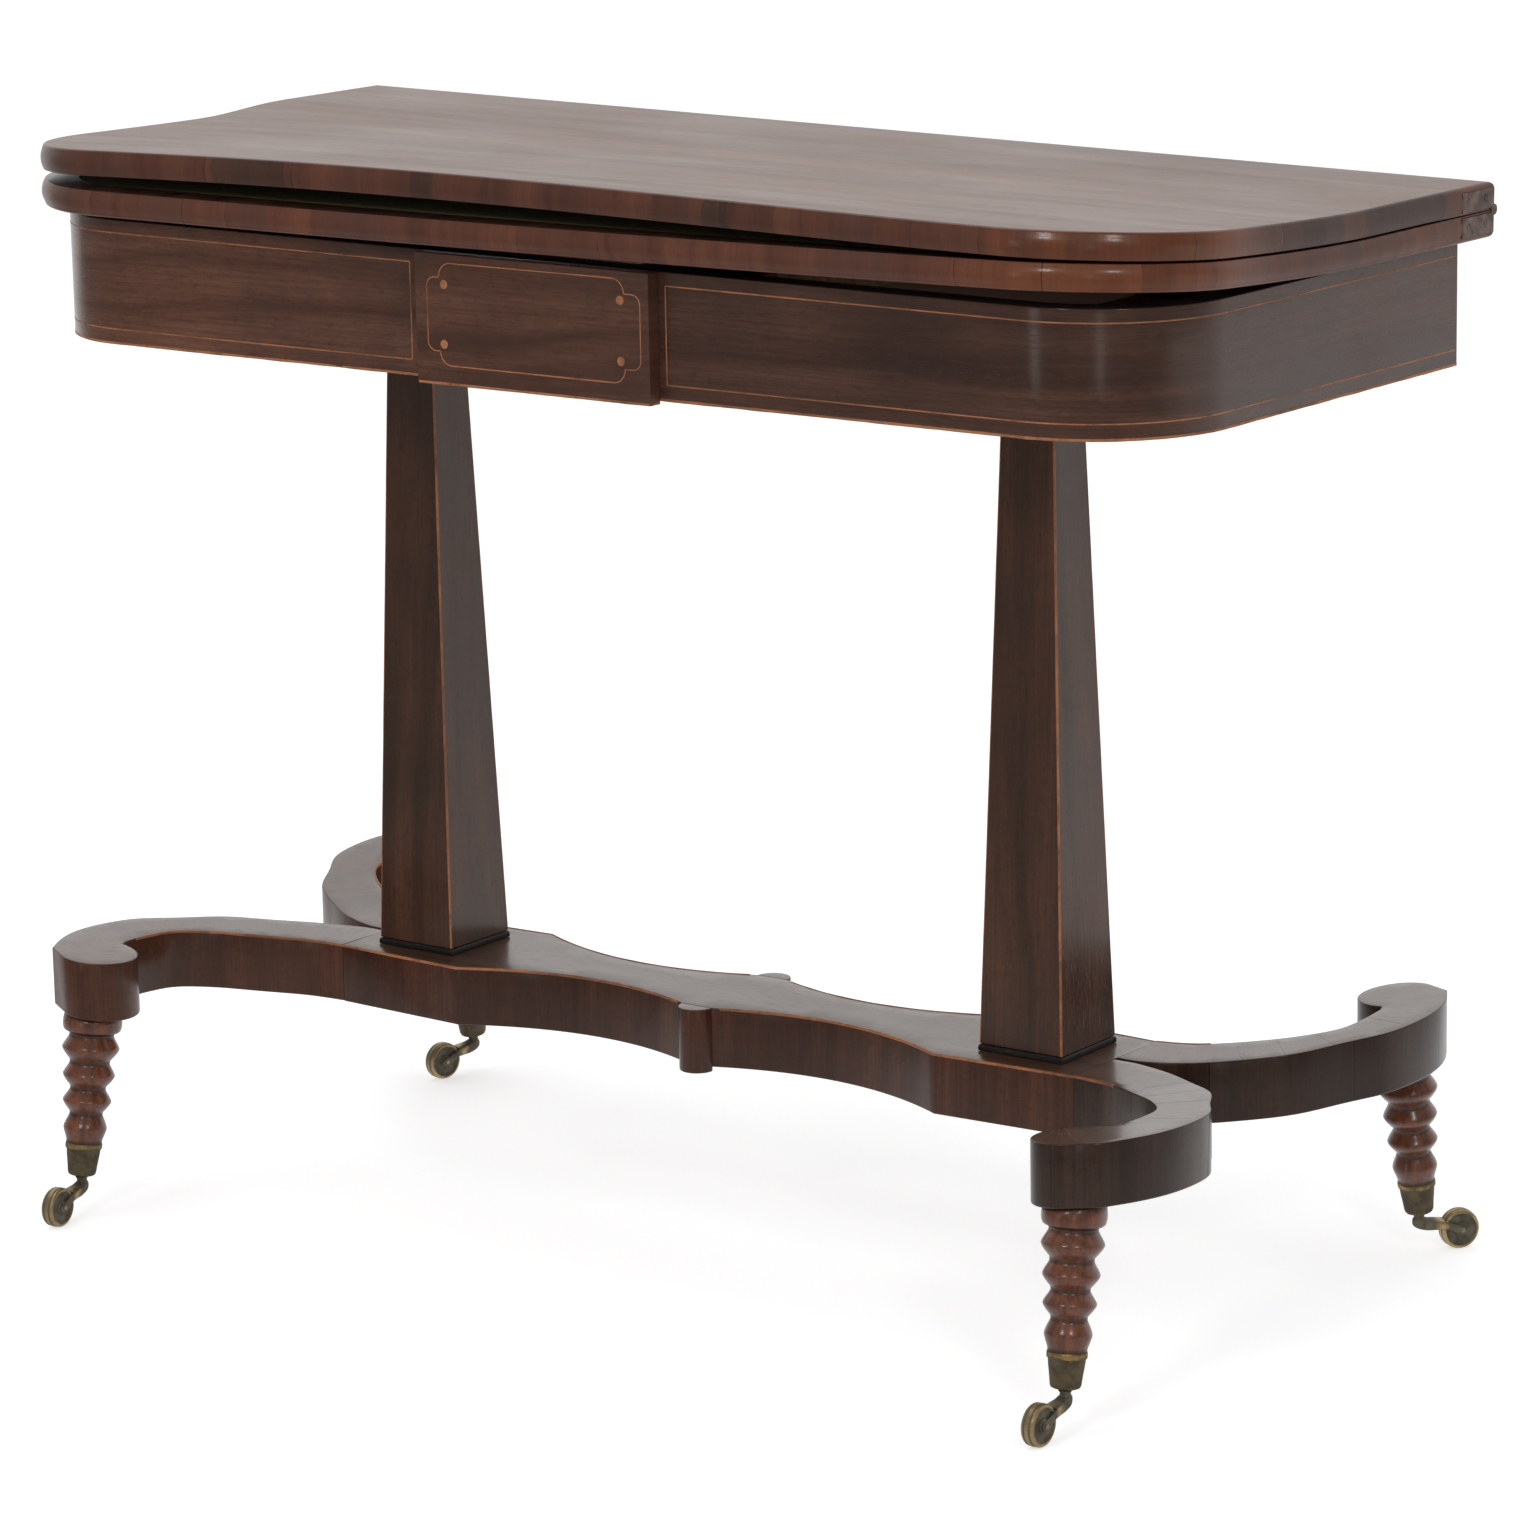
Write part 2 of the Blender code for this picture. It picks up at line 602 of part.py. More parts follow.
def build_frame(root):
    """The frieze, its tablet and what it holds: bearers, pivot board, well and stop studs."""
    corner_x = FRAME_HALF_LENGTH - FRAME_CORNER_RADIUS
    corner_y = FRAME_CORNER_RADIUS - FRAME_FRONT
    inner_x = FRAME_HALF_LENGTH - RAIL_THICKNESS
    inner_front = RAIL_THICKNESS - FRAME_FRONT
    inner_back = FRAME_BACK - RAIL_THICKNESS
    inner_radius = FRAME_CORNER_RADIUS - RAIL_THICKNESS
    half_gap = SEAT_GAP / 2

    straight = rectangle(-corner_x + half_gap, corner_x - half_gap, -FRAME_FRONT, inner_front)
    prism("front_rail", straight, FRAME_BASE, frame_top, ROSEWOOD, root)
    back = rectangle(-inner_x + SEAT_GAP, inner_x - SEAT_GAP, inner_back, FRAME_BACK)
    prism("back_rail", back, FRAME_BASE, frame_top, ROSEWOOD, root)
    for name, sign in (("left", -1), ("right", 1)):
        end = rectangle(inner_x, FRAME_HALF_LENGTH, corner_y + half_gap, FRAME_BACK)
        prism(f"end_rail_{name}", [(sign * x, y) for x, y in end], FRAME_BASE, frame_top, ROSEWOOD, root)
        centre = (corner_x, corner_y)
        slip = half_gap / FRAME_CORNER_RADIUS * 2
        block = arc(centre, FRAME_CORNER_RADIUS, -math.pi / 2 + slip, -slip, TURNED_SEGMENTS)
        block += arc(centre, inner_radius, -slip, -math.pi / 2 + slip, TURNED_SEGMENTS)
        turned_block = [(sign * x, y) for x, y in block]
        prism(f"corner_block_{name}", turned_block, FRAME_BASE, frame_top, ROSEWOOD, root, True)

    tablet_face = -FRAME_FRONT - SEAT_GAP - TABLET_THICKNESS
    tablet = rectangle(-TABLET_WIDTH / 2, TABLET_WIDTH / 2, tablet_face, -FRAME_FRONT - SEAT_GAP)
    prism("tablet", tablet, FRAME_BASE - TABLET_DROP, frame_top, ROSEWOOD, root)

    bearer_front = inner_front + SEAT_GAP
    bearer_back = inner_back - SEAT_GAP
    bearer_top = FRAME_BASE + BEARER_HEIGHT
    for name, sign in (("left", -1), ("right", 1)):
        middle = sign * COLUMN_SPREAD / 2
        outline = rectangle(middle - BEARER_WIDTH / 2, middle + BEARER_WIDTH / 2, bearer_front, bearer_back)
        bearer = prism(f"bearer_{name}", outline, FRAME_BASE, bearer_top, INNER_WOOD, root)
        mortise = column_mortise(f"bearer_{name}_mortise", middle, FRAME_BASE, 1, root)
        combine(bearer, mortise, "DIFFERENCE")

    board_half = PIVOT_BOARD_WIDTH / 2
    board = rectangle(PIVOT_X - board_half, PIVOT_X + board_half, bearer_front, bearer_back)
    board_base = FRAME_TOP - PIVOT_BOARD_THICKNESS
    pivot_board = prism("pivot_board", board, board_base, FRAME_TOP, INNER_WOOD, root)
    bore_radius = PIVOT_BOLT_RADIUS + RUNNING_GAP
    bore_profile = [(bore_radius, board_base - CUT_OVERRUN), (bore_radius, FRAME_TOP + CUT_OVERRUN)]
    bore = turned("pivot_board_bore", bore_profile, INNER_WOOD, root)
    bore.location = (PIVOT_X, PIVOT_Y, 0)
    combine(pivot_board, bore, "DIFFERENCE")

    well_left = -inner_x + SEAT_GAP
    well_right = well_left + WELL_LENGTH
    well_base = bearer_top + SEAT_GAP
    well_floor = well_base + WELL_BOTTOM_THICKNESS
    centre = (-corner_x, corner_y)
    floor_outline = arc(centre, inner_radius - SEAT_GAP, math.pi, 3 * math.pi / 2, TURNED_SEGMENTS)
    floor_outline += [(well_right, bearer_front), (well_right, bearer_back), (well_left, bearer_back)]
    prism("well_bottom", floor_outline, well_base, well_floor, INNER_WOOD, root)
    wall = rectangle(well_right - PARTITION_THICKNESS, well_right, bearer_front, bearer_back)
    prism("well_partition", wall, well_floor + SEAT_GAP, frame_top, INNER_WOOD, root)

    apart = STOP_PEG_RADIUS + STOP_STUD_RADIUS + SEAT_GAP
    lead = 2 * math.asin(apart / (2 * STOP_CIRCLE_RADIUS))
    stud_top = TOP_BASE + (TOP_HALF_WIDTH - PIVOT_X - board_half) * math.tan(TOP_TILT) - RUNNING_GAP
    stud_profile = [(STOP_STUD_RADIUS, FRAME_TOP + SEAT_GAP), (STOP_STUD_RADIUS, stud_top)]
    closed_angle = STOP_PEG_ANGLE - lead
    open_angle = STOP_PEG_ANGLE + SWIVEL_RANGE + lead
    for name, angle in (("closed", closed_angle), ("open", open_angle)):
        stud = turned(f"stop_stud_{name}", stud_profile, OLD_BRASS, root)
        stud_x = PIVOT_X + STOP_CIRCLE_RADIUS * math.cos(angle)
        stud_y = PIVOT_Y + STOP_CIRCLE_RADIUS * math.sin(angle)
        stud.location = (stud_x, stud_y, 0)


def column_mortise(name, middle, mouth, upward, parent):
    """Cutter for a column's tenon, which enters at the mouth's height and runs up or down."""
    half_width = COLUMN_TENON_WIDTH / 2 + SEAT_GAP
    half_depth = COLUMN_TENON_DEPTH / 2 + SEAT_GAP
    near = mouth - upward * CUT_OVERRUN
    far = mouth + upward * (COLUMN_TENON_LENGTH + SEAT_GAP)
    outline = rectangle(middle - half_width, middle + half_width, -half_depth, half_depth)
    return prism(name, outline, min(near, far), max(near, far), INNER_WOOD, parent)


def build_columns(root):
    """The two tapered columns with a tenon at each end, and their base mouldings."""
    base_top = PLATFORM_TOP + SEAT_GAP + COLUMN_BASE_HEIGHT
    foot = base_top + SEAT_GAP
    head = FRAME_BASE - SEAT_GAP
    tenon = (COLUMN_TENON_WIDTH / 2, COLUMN_TENON_DEPTH / 2)
    foot_half = (COLUMN_FOOT_WIDTH / 2, COLUMN_FOOT_DEPTH / 2)
    head_half = (COLUMN_HEAD_WIDTH / 2, COLUMN_HEAD_DEPTH / 2)
    levels = (
        (PLATFORM_TOP - COLUMN_TENON_LENGTH, tenon),
        (foot, tenon),
        (foot, foot_half),
        (head, head_half),
        (head, tenon),
        (FRAME_BASE + COLUMN_TENON_LENGTH, tenon),
    )
    for name, sign in (("left", -1), ("right", 1)):
        middle = sign * COLUMN_SPREAD / 2
        rings = []
        for height, (half_x, half_y) in levels:
            outline = rectangle(middle - half_x, middle + half_x, -half_y, half_y)
            rings.append([Vector((x, y, height)) for x, y in outline])
        loft(f"column_{name}", rings, ROSEWOOD, root)
        half_x = foot_half[0] + COLUMN_BASE_MARGIN
        half_y = foot_half[1] + COLUMN_BASE_MARGIN
        hole_x = tenon[0] + SEAT_GAP
        hole_y = tenon[1] + SEAT_GAP
        rings = []
        for reach_x, reach_y, height in (
            (hole_x, hole_y, PLATFORM_TOP + SEAT_GAP),
            (half_x, half_y, PLATFORM_TOP + SEAT_GAP),
            (half_x, half_y, base_top),
            (hole_x, hole_y, base_top),
        ):
            outline = rectangle(middle - reach_x, middle + reach_x, -reach_y, reach_y)
            rings.append([Vector((x, y, height)) for x, y in outline])
        loft(f"column_base_{name}", rings, ROSEWOOD, root, closed=True)


def build_platform(root):
    """The platform with concave long sides, the roundels at its middle and the columns' mortises."""
    end_half = PLATFORM_END_WIDTH / 2
    kink_half = PLATFORM_KINK_WIDTH / 2
    seat = ROUNDEL_SEAT - SEAT_GAP
    quarter = [(PLATFORM_HALF_LENGTH - SEAT_GAP, end_half)]
    for step in range(PLATFORM_HOLLOW_STEPS + 1):
        share = step / PLATFORM_HOLLOW_STEPS
        x = PLATFORM_KINK_X + (ROUNDEL_RADIUS - PLATFORM_KINK_X) * share
        chord = kink_half + (seat - kink_half) * share
        quarter.append((x, chord - PLATFORM_HOLLOW_DEPTH * 4 * share * (1 - share)))
    half = quarter + [(-x, y) for x, y in reversed(quarter)]
    outline = half + [(x, -y) for x, y in reversed(half)]
    platform = prism("platform", outline, PLATFORM_BASE, PLATFORM_TOP, ROSEWOOD, root)
    for name, sign in (("left", -1), ("right", 1)):
        middle = sign * COLUMN_SPREAD / 2
        mortise = column_mortise(f"platform_mortise_{name}", middle, PLATFORM_TOP, -1, root)
        combine(platform, mortise, "DIFFERENCE")
    for name, sign in (("front", -1), ("back", 1)):
        drop = arc((0, ROUNDEL_SEAT), ROUNDEL_RADIUS, 0, math.pi, TURNED_SEGMENTS // 2)
        outline = [(x, sign * y) for x, y in drop]
        prism(f"roundel_{name}", outline, PLATFORM_BASE - ROUNDEL_DROP, PLATFORM_TOP, ROSEWOOD, root, True)


def foot_axis(sign_x, sign_y, height):
    """The point of a foot's leaning axis at a height."""
    drop = (FOOT_TOP - height) / FOOT_TOP
    x = sign_x * (FOOT_TOP_X + FOOT_SPLAY_X * drop)
    y = sign_y * (FOOT_TOP_Y + FOOT_SPLAY_Y * drop)
    return Vector((x, y, height))


def leaning_rings(profile, sign_x, sign_y, seated=()):
    """Rings of (radius, height) points square to a foot's axis; the seated ones lie against the arm."""
    lean = foot_axis(sign_x, sign_y, FOOT_TOP) - foot_axis(sign_x, sign_y, 0)
    turn = Vector((0, 0, 1)).rotation_difference(lean)
    rings = []
    for number, (radius, height) in enumerate(profile):
        centre = foot_axis(sign_x, sign_y, height)
        ring = [centre + turn @ point for point in circle(radius, 0)]
        if number in seated:
            ring = [slide_to_arm(point, lean) for point in ring]
        rings.append(ring)
    return rings


def slide_to_arm(point, lean):
    """Move a point along a foot's axis until it lies just under the arm."""
    for _ in range(SLIDE_ROUNDS):
        point = point + lean * ((arm_base(point.x, point.y) - SEAT_GAP - point.z) / lean.z)
    return point


def arm_outline():
    """Plan outline of the back right arm: out along its outer side, round the head and back inside."""
    outer = [(PLATFORM_HALF_LENGTH + u * ARM_REACH, v * FOOT_TOP_Y) for u, v in ARM_OUTER_SHARES]
    inner = [(PLATFORM_HALF_LENGTH + u * ARM_REACH, v * FOOT_TOP_Y) for u, v in ARM_INNER_SHARES]
    start_angle, end_angle = ARM_HEAD_ANGLES
    start_radius, end_radius = ARM_HEAD_RADII
    head = []
    for step in range(TURNED_SEGMENTS + 1):
        share = step / TURNED_SEGMENTS
        angle = start_angle + (end_angle - start_angle) * share
        radius = start_radius + (end_radius - start_radius) * share
        head.append((FOOT_TOP_X + radius * math.cos(angle), FOOT_TOP_Y + radius * math.sin(angle)))
    return smooth_through(outer, 2) + head + smooth_through(inner, 2)


def arm_top(x, y):
    """Height of an arm's top, which eases out of the platform's level and then climbs to the head."""
    along = (abs(x) - PLATFORM_HALF_LENGTH) / ARM_REACH + abs(y) / FOOT_TOP_Y
    start, knee = ARM_RISE_SHARES
    middle = (start + knee) / 2
    if along > knee:
        climb = along - middle
    else:
        climb = max(0.0, along - start) ** 2 / (2 * (knee - start))
    return PLATFORM_TOP + ARM_RISE * climb / (ARM_HEAD_SHARE - middle)


def arm_base(x, y):
    """Height of an arm's underside."""
    return arm_top(x, y) - ARM_THICKNESS


def foot_profile():
    """(radius, height) points of a turned foot, from its tenon in the ferrule to the dowel in the arm."""
    tenon_base = FERRULE_BASE + FERRULE_FLOOR + SEAT_GAP
    slimming = (FERRULE_TOP_RADIUS - FERRULE_BOTTOM_RADIUS) / FERRULE_LENGTH
    tenon_top_radius = FERRULE_TOP_RADIUS - FERRULE_WALL - SEAT_GAP
    tenon_base_radius = tenon_top_radius - slimming * (FOOT_BASE - tenon_base)
    shoulder = FOOT_BASE + SEAT_GAP
    height = FOOT_HEIGHT - 2 * SEAT_GAP
    profile = [(tenon_base_radius, tenon_base), (tenon_top_radius, shoulder)]
    lows = FOOT_GROOVE_SHARES
    for (low, low_radius), (high, high_radius), bead in zip(lows, lows[1:], FOOT_BEAD_SHARES):
        profile.append((FOOT_RADIUS * low_radius, shoulder + height * low))
        for share in BEAD_RING_SHARES:
            groove = low_radius + (high_radius - low_radius) * share
            radius = groove + (bead - groove) * math.sin(math.pi * share) ** BEAD_FULLNESS
            profile.append((FOOT_RADIUS * radius, shoulder + height * (low + (high - low) * share)))
    top_groove, top_radius = FOOT_GROOVE_SHARES[-1]
    profile.append((FOOT_RADIUS * top_radius, shoulder + height * top_groove))
    profile += [(FOOT_RADIUS * radius, shoulder + height * share) for share, radius in FOOT_COLLAR_SHARES]
    profile.append((FOOT_DOWEL_RADIUS, shoulder + height))
    profile.append((FOOT_DOWEL_RADIUS, FOOT_TOP + FOOT_DOWEL_LENGTH))
    return profile


def build_legs(root):
    """Arms, feet, ferrules and casters at the four corners."""
    profile = foot_profile()
    for corner, (sign_x, sign_y, trail_angle) in CORNERS.items():
        outline = [(sign_x * x, sign_y * y) for x, y in arm_outline()]
        arm = prism(f"arm_{corner}", outline, arm_base, arm_top, ROSEWOOD, root, True)
        dowel_radius = FOOT_DOWEL_RADIUS + SEAT_GAP
        dowel_end = FOOT_TOP + FOOT_DOWEL_LENGTH + SEAT_GAP
        socket_profile = [(dowel_radius, FOOT_TOP - CUT_OVERRUN), (dowel_radius, dowel_end)]
        socket_rings = leaning_rings(socket_profile, sign_x, sign_y)
        socket = loft(f"arm_socket_{corner}", socket_rings, ROSEWOOD, root)
        combine(arm, socket, "DIFFERENCE")

        against_arm = (len(profile) - 3, len(profile) - 2)
        rings = leaning_rings(profile, sign_x, sign_y, against_arm)
        loft(f"foot_{corner}", rings, FOOT_WOOD, root, True)

        wall = FERRULE_WALL
        slimming = (FERRULE_TOP_RADIUS - FERRULE_BOTTOM_RADIUS) / FERRULE_LENGTH
        floor_radius = FERRULE_BOTTOM_RADIUS - wall + slimming * FERRULE_FLOOR
        cup = [
            (FERRULE_BOTTOM_RADIUS, FERRULE_BASE),
            (FERRULE_TOP_RADIUS, FOOT_BASE),
            (FERRULE_TOP_RADIUS - wall, FOOT_BASE),
            (floor_radius, FERRULE_BASE + FERRULE_FLOOR),
        ]
        ferrule = loft(f"ferrule_{corner}", leaning_rings(cup, sign_x, sign_y), OLD_BRASS, root, True)
        swivel_place = foot_axis(sign_x, sign_y, FERRULE_BASE)
        stem_space = CASTER_STEM_RADIUS + RUNNING_GAP
        stem_hole = [(stem_space, -CUT_OVERRUN), (stem_space, CASTER_STEM_LENGTH + RUNNING_GAP)]
        bore = turned(f"ferrule_bore_{corner}", stem_hole, OLD_BRASS, root)
        bore.location = swivel_place
        combine(ferrule, bore, "DIFFERENCE")
        build_caster(corner, swivel_place, trail_angle, root)


def build_caster(corner, swivel_place, trail_angle, root):
    """One caster: the fork that swivels, its axle and the wheel, which trails along local +X."""
    lean = math.hypot(FOOT_SPLAY_X, FOOT_SPLAY_Y) / FOOT_TOP
    neck_top = FERRULE_BASE - RUNNING_GAP - CASTER_NECK_RADIUS * lean
    axis = empty(f"caster_swivel_axis_{corner}", (swivel_place.x, swivel_place.y, 0), root)
    axis.rotation_euler = (0, 0, trail_angle)
    rise = (CASTER_KNUCKLE_HEIGHT - WHEEL_RADIUS) / CASTER_TRAIL
    cheek_start = CASTER_TRAIL - WHEEL_RADIUS
    stations = [
        (CASTER_NECK_RADIUS * along, CASTER_NECK_RADIUS * width, FORK_END_RADIUS * height)
        for along, width, height in KNUCKLE_SHARES
    ]
    stations += [(along, FORK_HALF_WIDTH, FORK_END_RADIUS) for along in (cheek_start, CASTER_TRAIL)]
    stations += [
        (CASTER_TRAIL + FORK_END_RADIUS * along, FORK_HALF_WIDTH, FORK_END_RADIUS * height)
        for along, height in FORK_END_SHARES
    ]
    rings = []
    for along, half_width, half_height in stations:
        middle = CASTER_KNUCKLE_HEIGHT - rise * along
        section = rectangle(-half_width, half_width, middle - half_height, middle + half_height)
        rings.append([Vector((along, y, z)) for y, z in section])
    fork = loft(f"caster_fork_{corner}", rings, OLD_BRASS, axis)
    slot_half = WHEEL_WIDTH / 2 + RUNNING_GAP
    slot = wheel_turning(f"caster_slot_{corner}", WHEEL_RADIUS + 2 * RUNNING_GAP, slot_half, axis)
    combine(fork, slot, "DIFFERENCE")
    neck_base = CASTER_KNUCKLE_HEIGHT - FORK_END_RADIUS / 2
    stem_top = FERRULE_BASE + CASTER_STEM_LENGTH
    neck_profile = [
        (CASTER_NECK_RADIUS, neck_base),
        (CASTER_NECK_RADIUS, neck_top),
        (CASTER_STEM_RADIUS, neck_top),
        (CASTER_STEM_RADIUS, stem_top),
    ]
    combine(fork, turned(f"caster_neck_{corner}", neck_profile, OLD_BRASS, axis), "UNION")
    hole_half = FORK_HALF_WIDTH + CUT_OVERRUN
    hole = wheel_turning(f"caster_hole_{corner}", AXLE_RADIUS + SEAT_GAP, hole_half, axis)
    combine(fork, hole, "DIFFERENCE")
    wheel_turning(f"caster_axle_{corner}", AXLE_RADIUS, FORK_HALF_WIDTH, axis)

    half = WHEEL_WIDTH / 2
    web = half - WHEEL_WEB_RECESS
    rim = WHEEL_RADIUS - WHEEL_RIM_WIDTH
    side = [
        (AXLE_RADIUS + SEAT_GAP, half),
        (WHEEL_HUB_RADIUS, half),
        (WHEEL_HUB_RADIUS, web),
        (rim, web),
        (rim, half),
        (WHEEL_RADIUS - WHEEL_TREAD_ROUNDING, half),
        (WHEEL_RADIUS, half - WHEEL_TREAD_ROUNDING),
    ]
    loop = side + [(radius, -place) for radius, place in reversed(side)]
    spin = empty(f"caster_wheel_axis_{corner}", (CASTER_TRAIL, 0, WHEEL_RADIUS), axis)
    wheel = turned(f"caster_wheel_{corner}", loop, OLD_BRASS, spin, WHEEL_SEGMENTS, True)
    wheel.data.transform(Matrix.Rotation(math.pi / 2, 4, "X"))


def wheel_turning(name, radius, half_length, axis):
    """A plain cylinder on a caster's wheel axis."""
    built = turned(name, [(radius, -half_length), (radius, half_length)], OLD_BRASS, axis, WHEEL_SEGMENTS)
    built.data.transform(Matrix.Rotation(math.pi / 2, 4, "X"))
    built.location = (CASTER_TRAIL, 0, WHEEL_RADIUS)
    return built


def centre_on_footprint(root):
    """Move the root so that the origin is at the middle of the footprint."""
    bpy.context.view_layer.update()
    graph = bpy.context.evaluated_depsgraph_get()
    low = [math.inf, math.inf]
    high = [-math.inf, -math.inf]
    for piece in bpy.data.objects:
        if piece.type != "MESH" or piece.hide_render:
            continue
        evaluated = piece.evaluated_get(graph)
        for vertex in evaluated.data.vertices:
            place = evaluated.matrix_world @ vertex.co
            for axis in range(2):
                low[axis] = min(low[axis], place[axis])
                high[axis] = max(high[axis], place[axis])
    root.location = (-(low[0] + high[0]) / 2, -(low[1] + high[1]) / 2, 0)
    bpy.context.view_layer.update()


def build_table():
    """The whole table, under one root."""
    for leftover in list(bpy.data.objects):
        bpy.data.objects.remove(leftover)
    root = empty("table_root", (0, 0, 0))
    build_platform(root)
    build_legs(root)
    build_columns(root)
    build_frame(root)
    build_top(root)
    centre_on_footprint(root)


build_table()
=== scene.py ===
import math

import bmesh
import bpy
from mathutils import Matrix, Vector
from mathutils.geometry import delaunay_2d_cdt


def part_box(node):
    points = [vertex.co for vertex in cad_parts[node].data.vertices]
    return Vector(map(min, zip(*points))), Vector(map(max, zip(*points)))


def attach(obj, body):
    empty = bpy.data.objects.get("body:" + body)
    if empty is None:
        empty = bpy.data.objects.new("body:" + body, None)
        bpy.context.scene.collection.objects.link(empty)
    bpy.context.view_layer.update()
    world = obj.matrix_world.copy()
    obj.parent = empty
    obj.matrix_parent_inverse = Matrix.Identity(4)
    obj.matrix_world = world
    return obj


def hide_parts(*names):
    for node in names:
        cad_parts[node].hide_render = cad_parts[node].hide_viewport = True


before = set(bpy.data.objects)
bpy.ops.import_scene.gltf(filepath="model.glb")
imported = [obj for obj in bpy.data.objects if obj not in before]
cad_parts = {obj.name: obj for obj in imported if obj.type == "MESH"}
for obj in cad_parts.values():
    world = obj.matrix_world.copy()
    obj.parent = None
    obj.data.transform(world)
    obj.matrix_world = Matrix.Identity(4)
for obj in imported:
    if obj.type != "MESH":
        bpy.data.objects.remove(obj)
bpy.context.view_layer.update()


# Platform: the low stretcher block of the table, a pine core covered with rosewood veneer, whose long sides
# are hollowed between two straight ends. A boxwood line runs along its upper edge on the front and the back.
class Amount:
    """A number that varies over a surface: a shader socket with arithmetic."""

    def __init__(self, finish, socket):
        self.finish = finish
        self.socket = socket

    def worked(self, operation, first, second=0.0):
        return self.finish.node("ShaderNodeMath", {"operation": operation}, {0: first, 1: second})

    def __add__(self, other):
        return self.worked("ADD", self, other)

    def __radd__(self, other):
        return self.worked("ADD", other, self)

    def __sub__(self, other):
        return self.worked("SUBTRACT", self, other)

    def __rsub__(self, other):
        return self.worked("SUBTRACT", other, self)

    def __mul__(self, other):
        return self.worked("MULTIPLY", self, other)

    def __rmul__(self, other):
        return self.worked("MULTIPLY", other, self)

    def __abs__(self):
        return self.worked("ABSOLUTE", self)

    def between(self, low, high):
        """0 below the low value and 1 above the high one, with a soft step in between."""
        return self.finish.node("ShaderNodeMapRange", {"interpolation_type": "SMOOTHSTEP", "clamp": True},
                                {"Value": self, "From Min": low, "From Max": high})


class Finish:
    """One material: its shader's fixed sockets are set by name, and what varies is made by node()."""

    def __init__(self, name, **fixed):
        self.material = bpy.data.materials.new(name)
        self.material.use_nodes = True
        self.tree = self.material.node_tree
        self.shader = self.tree.nodes["Principled BSDF"]
        for socket, value in fixed.items():
            self.shader.inputs[socket.replace("_", " ")].default_value = value

    def feed(self, socket, value):
        if isinstance(value, Amount):
            self.tree.links.new(value.socket, socket)
        elif isinstance(value, tuple) and len(value) == 3 and socket.type == "RGBA":
            socket.default_value = (*value, 1.0)
        else:
            socket.default_value = value

    def node(self, kind, settings, sockets, output=0):
        """Any node, from its type, its settings and the values or links of its sockets."""
        made = self.tree.nodes.new(kind)
        for setting, value in settings.items():
            if setting == "stops":
                ramp = made.color_ramp.elements
                while len(ramp) < len(value):
                    ramp.new(0.5)
                for stop, (place, colour) in zip(ramp, value):
                    stop.position = place
                    stop.color = (*colour, 1.0)
            else:
                setattr(made, setting, value)
        for key, value in sockets.items():
            self.feed(made.inputs[key], value)
        return Amount(self, made.outputs[output])

    def mix(self, share, first, second):
        """A colour between two colours."""
        return self.node("ShaderNodeMix", {"data_type": "RGBA"}, {0: share, 6: first, 7: second}, 2)

    def tinted(self, share, colour, tint):
        """A colour that is multiplied by a tint as far as the share says."""
        return self.node("ShaderNodeMix", {"data_type": "RGBA", "blend_type": "MULTIPLY"},
                         {0: share, 6: colour, 7: tint}, 2)

    def place(self, source):
        """The three coordinates of the Object or UV place of a point."""
        where = self.node("ShaderNodeTexCoord", {}, {}, source)
        parts = self.tree.nodes.new("ShaderNodeSeparateXYZ")
        self.feed(parts.inputs[0], where)
        return [Amount(self, part) for part in parts.outputs]

    def vector(self, x, y, z=0.0):
        return self.node("ShaderNodeCombineXYZ", {}, {0: x, 1: y, 2: z})

    def noise(self, vector, detail=2.0, roughness=0.5, distortion=0.0):
        return self.node("ShaderNodeTexNoise", {}, {"Vector": vector, "Scale": 1.0, "Detail": detail,
                                                    "Roughness": roughness, "Distortion": distortion})

    def mark(self, name):
        """A value that the mesh carries under a name."""
        return self.node("ShaderNodeAttribute", {"attribute_name": name}, {}, "Fac")

    def bump(self, height, distance):
        """Relief, whose distance in metres is the height of a full step."""
        self.feed(self.shader.inputs["Normal"],
                  self.node("ShaderNodeBump", {}, {"Height": height, "Strength": 1.0, "Distance": distance}))

    def show(self, **varying):
        for socket, value in varying.items():
            self.feed(self.shader.inputs[socket.replace("_", " ")], value)
        return self.material


def darker(tone, share):
    return tuple(value * share for value in tone)


def figured(finish, along, across, tones, figure):
    """Rosewood figure: broad dark and light bands, finer streaks and pores, all drawn out along the grain."""
    dark, middle, light = tones
    drift = finish.noise(finish.vector(along * 3.0, across * 9.0, 3.7), 2.0)
    bands = finish.noise(finish.vector(along * 2.4, across * 46.0 + drift * 3.0, 1.3), 4.0, 0.55, 0.4)
    streaks = finish.noise(finish.vector(along * 11.0, across * 520.0, 5.1), 3.0, 0.6)
    pores = finish.noise(finish.vector(along * 90.0, across * 2600.0, 8.2), 1.0)
    stops = [(0.28, dark), (0.5, middle), (0.74, light)]
    broad = finish.node("ShaderNodeValToRGB", {"stops": stops}, {0: bands})
    fine = finish.mix(streaks.between(0.35, 0.75) * figure, broad, dark)
    cut = pores.between(0.62, 0.72)
    return finish.mix(cut * 0.55, fine, darker(dark, 0.35)), streaks, cut


def new_object(name, data):
    made = bpy.data.objects.new(name, data)
    bpy.context.scene.collection.objects.link(made)
    return made


def worked_out(made):
    """Puts what an object's modifiers make in the place of its mesh."""
    graph = bpy.context.evaluated_depsgraph_get()
    mesh = bpy.data.meshes.new_from_object(made.evaluated_get(graph))
    made.modifiers.clear()
    made.data = mesh


